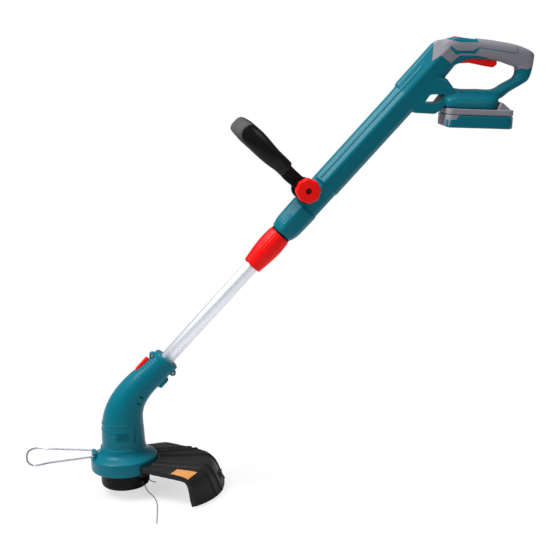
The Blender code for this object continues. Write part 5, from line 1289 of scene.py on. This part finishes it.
def guard_strip(start, end, line, above, below, right, left):
    """An upright strip over a straight run of the guard, following its top line."""
    start = Vector((*start, 0))
    ahead = (Vector((*end, 0)) - start).normalized()
    nearest = start.dot(ahead)
    clear = (start - ahead * nearest).length
    outline = [
        (math.sqrt(max(p[0] ** 2 - clear ** 2, 0)) - nearest, p[1])
        for p in [*line_offset(line, -above), *reversed(line_offset(line, below))]
    ]
    up = Vector((0, 0, 1))
    turn = Matrix((ahead, up, ahead.cross(up))).transposed().to_4x4()
    return prism(outline, -left, right, Matrix.Translation(start * MM) @ turn)


def drawn_in(bm):
    """Draws the guard's near end in towards the axis, most at its lower edge."""
    for vert in bm.verts:
        radius = vert.co.xy.length
        if radius < 0.1:
            continue
        angle = math.degrees(math.atan2(vert.co.y, vert.co.x))
        drop = max((42 - vert.co.z / MM) / 46.6, 0)
        turn = min(max((-15 - angle) / 29, 0), 1)
        vert.co.xy *= 1 - 0.012 * drop * turn ** 2 / radius
    return bm


top_line = [tuple(p) for p in flowing(GUARD_TOP_LINE, 4)]
inner_line = line_offset(top_line, GUARD_THICKNESS)[1:]
guard_ring = [(60.4, 44.4), (60.4, 31.1), (47, 31.1), (47, 33.7), (57.8, 33.7)]
shell = turned([*top_line, *(tuple(p) for p in reversed(inner_line)), *guard_ring], steps=240)
fan_outline = eased([(0, 0), *GUARD_NEAR, (260, -60), *reversed(GUARD_FAR)], 5)
fan = prism(fan_outline, -40, 90)
wall_line = [(59.3, 50), *top_line[1:-1]]
rib_line = [(62.4, 50), *top_line[1:-1]]
ribs = [guard_strip(*ends, rib_line, 2.2, 1.3, 1.5, 1.5) for ends in GUARD_RIBS]
walls = [guard_strip(*GUARD_NEAR, wall_line, -1.3, 9, 1, 2.6)]
walls += [guard_strip(*ends, wall_line, -1.3, 9, 2.6, 1) for ends in zip(GUARD_FAR, GUARD_FAR[1:])]
cutter_pad = block((159.8, -9, 1.4), (168.5, 9, 19.4), CUTTER_TURN)
parts = [within(part, fan.copy()) for part in (shell, *ribs, *walls, cutter_pad)]
fan.free()
guard = drawn_in(fused(parts, HOUSING_GRAIN, 2))
piece("guard_tag", patch(guard, TAG, 1, 0.3), "head", PATCH)
piece("debris_guard", guard, "head", GUARD, "guard")
inner, middle, outer = (CUTTER_TURN @ at(x, 0, 10.4) for x in (150, 155.7, 170))
cutter = cut(block((158, -12, 2.4), (159.5, 12, 18.4), CUTTER_TURN, 0.3), bore(1.7, inner, outer))
piece("cutter_blade", cutter, "head", STEEL, "line_cutter")
guard_screws = [from_axis(GUARD_SCREW_RADIUS, a, GUARD_SCREW_HEIGHT) for a in GUARD_SCREW_ANGLES]
screws("guard_fixing", "guard_screw", guard_screws, (0, 0, 1), 14, "head")
screw("cutter_fixing", middle, CUTTER_TURN @ Vector((1, 0, 0)), 9, "head", "cutter_screw")
screws("neck_fixing", "neck_screw", ear_screws, (0, 1, 0), 14, "head")


# Plant guard wire

WIRE_SIDE = (
    (-51, 5.8, 65), (-51, 14, 65), (-51.9, 16.1, 65), (-54, 17, 65), (-128, 35, 69.7),
    (-142, 41.8, 70.5), (-151, 43, 70.5), (-158, 39, 70.5), (-162, 32, 70.5), (-165, 19, 70.5),
    (-166, 0, 70.5),
)
wire_path = [Vector(p) for p in WIRE_SIDE]
wire_path += [Vector((x, -y, z)) for x, y, z in reversed(WIRE_SIDE[:-1])]
wire_path = [WIRE_TURN @ p * MM for p in eased(wire_path, 9, 4, False)]
piece("plant_wire", swept(wire_path, 1.5, 16), "wire_guard", WIRE, "wire_guard")


# Floor, lights and surroundings

def stage_floor():
    bm = bmesh.new()
    bmesh.ops.create_grid(
        bm, x_segments=1, y_segments=1, size=6, matrix=Matrix.Translation((0.3, 0, -0.0086))
    )
    mesh = as_mesh("floor", bm)
    material, tree, shader, place = blank("floor", 0.9, 0.0, 0.1)
    shader.inputs["Base Color"].default_value = (0.80, 0.80, 0.80, 1)
    offset = add_node(tree, "VectorMath", {0: place, 1: (0.05, 0, 0)}, operation="SUBTRACT")
    away = add_node(tree, "VectorMath", {0: offset.outputs[0]}, operation="LENGTH")
    away = math_node(tree, "SUBTRACT", away.outputs["Value"], 0.12)
    fade = math_node(tree, "MULTIPLY_ADD", away, 1.6, 0.80, clamp=True)
    seen = tree.nodes.new("ShaderNodeLightPath").outputs["Is Camera Ray"]
    glow = tree.nodes.new("ShaderNodeEmission").outputs[0]
    mix = tree.nodes.new("ShaderNodeMixShader")
    tree.links.new(math_node(tree, "MULTIPLY", fade, seen), mix.inputs[0])
    tree.links.new(shader.outputs[0], mix.inputs[1])
    tree.links.new(glow, mix.inputs[2])
    tree.links.new(mix.outputs[0], tree.nodes["Material Output"].inputs["Surface"])
    mesh.materials.append(material)
    placed("floor", mesh)


def area_light(name, spot, target, size, power):
    data = bpy.data.lights.new(name, "AREA")
    data.shape = "RECTANGLE"
    data.size, data.size_y = size
    data.energy = power
    light = placed(name, data)
    light.matrix_world = facing(Vector(spot), Vector(spot) - Vector(target))


def white_world(strength, mirrored):
    """White where it is seen, dimmer in reflections and as light."""
    world = bpy.data.worlds.new("studio")
    SCENE.world = world
    world.use_nodes = True
    tree = world.node_tree
    back = tree.nodes["Background"]
    back.inputs["Color"].default_value = (1, 1, 1, 1)
    rays = tree.nodes.new("ShaderNodeLightPath").outputs
    seen = math_node(tree, "MAXIMUM", rays["Is Camera Ray"], rays["Is Transmission Ray"])
    shiny = math_node(tree, "MULTIPLY", rays["Is Glossy Ray"], mirrored)
    lit = math_node(tree, "MAXIMUM", math_node(tree, "MAXIMUM", seen, shiny), strength)
    tree.links.new(lit, back.inputs["Strength"])


stage_floor()
area_light("key_light", (-1.2, -0.25, 2.4), (0.3, 0, 0.35), (1.2, 0.9), 90)
area_light("fill_light", (0.95, -1.5, 1.35), (0.45, 0, 0.5), (0.9, 0.9), 6)
area_light("top_light", (0.2, 0.2, 2.6), (0.3, 0, 0.3), (1.6, 1.0), 24)
white_world(0.08, 0.4)
SCENE.view_settings.view_transform = "Standard"
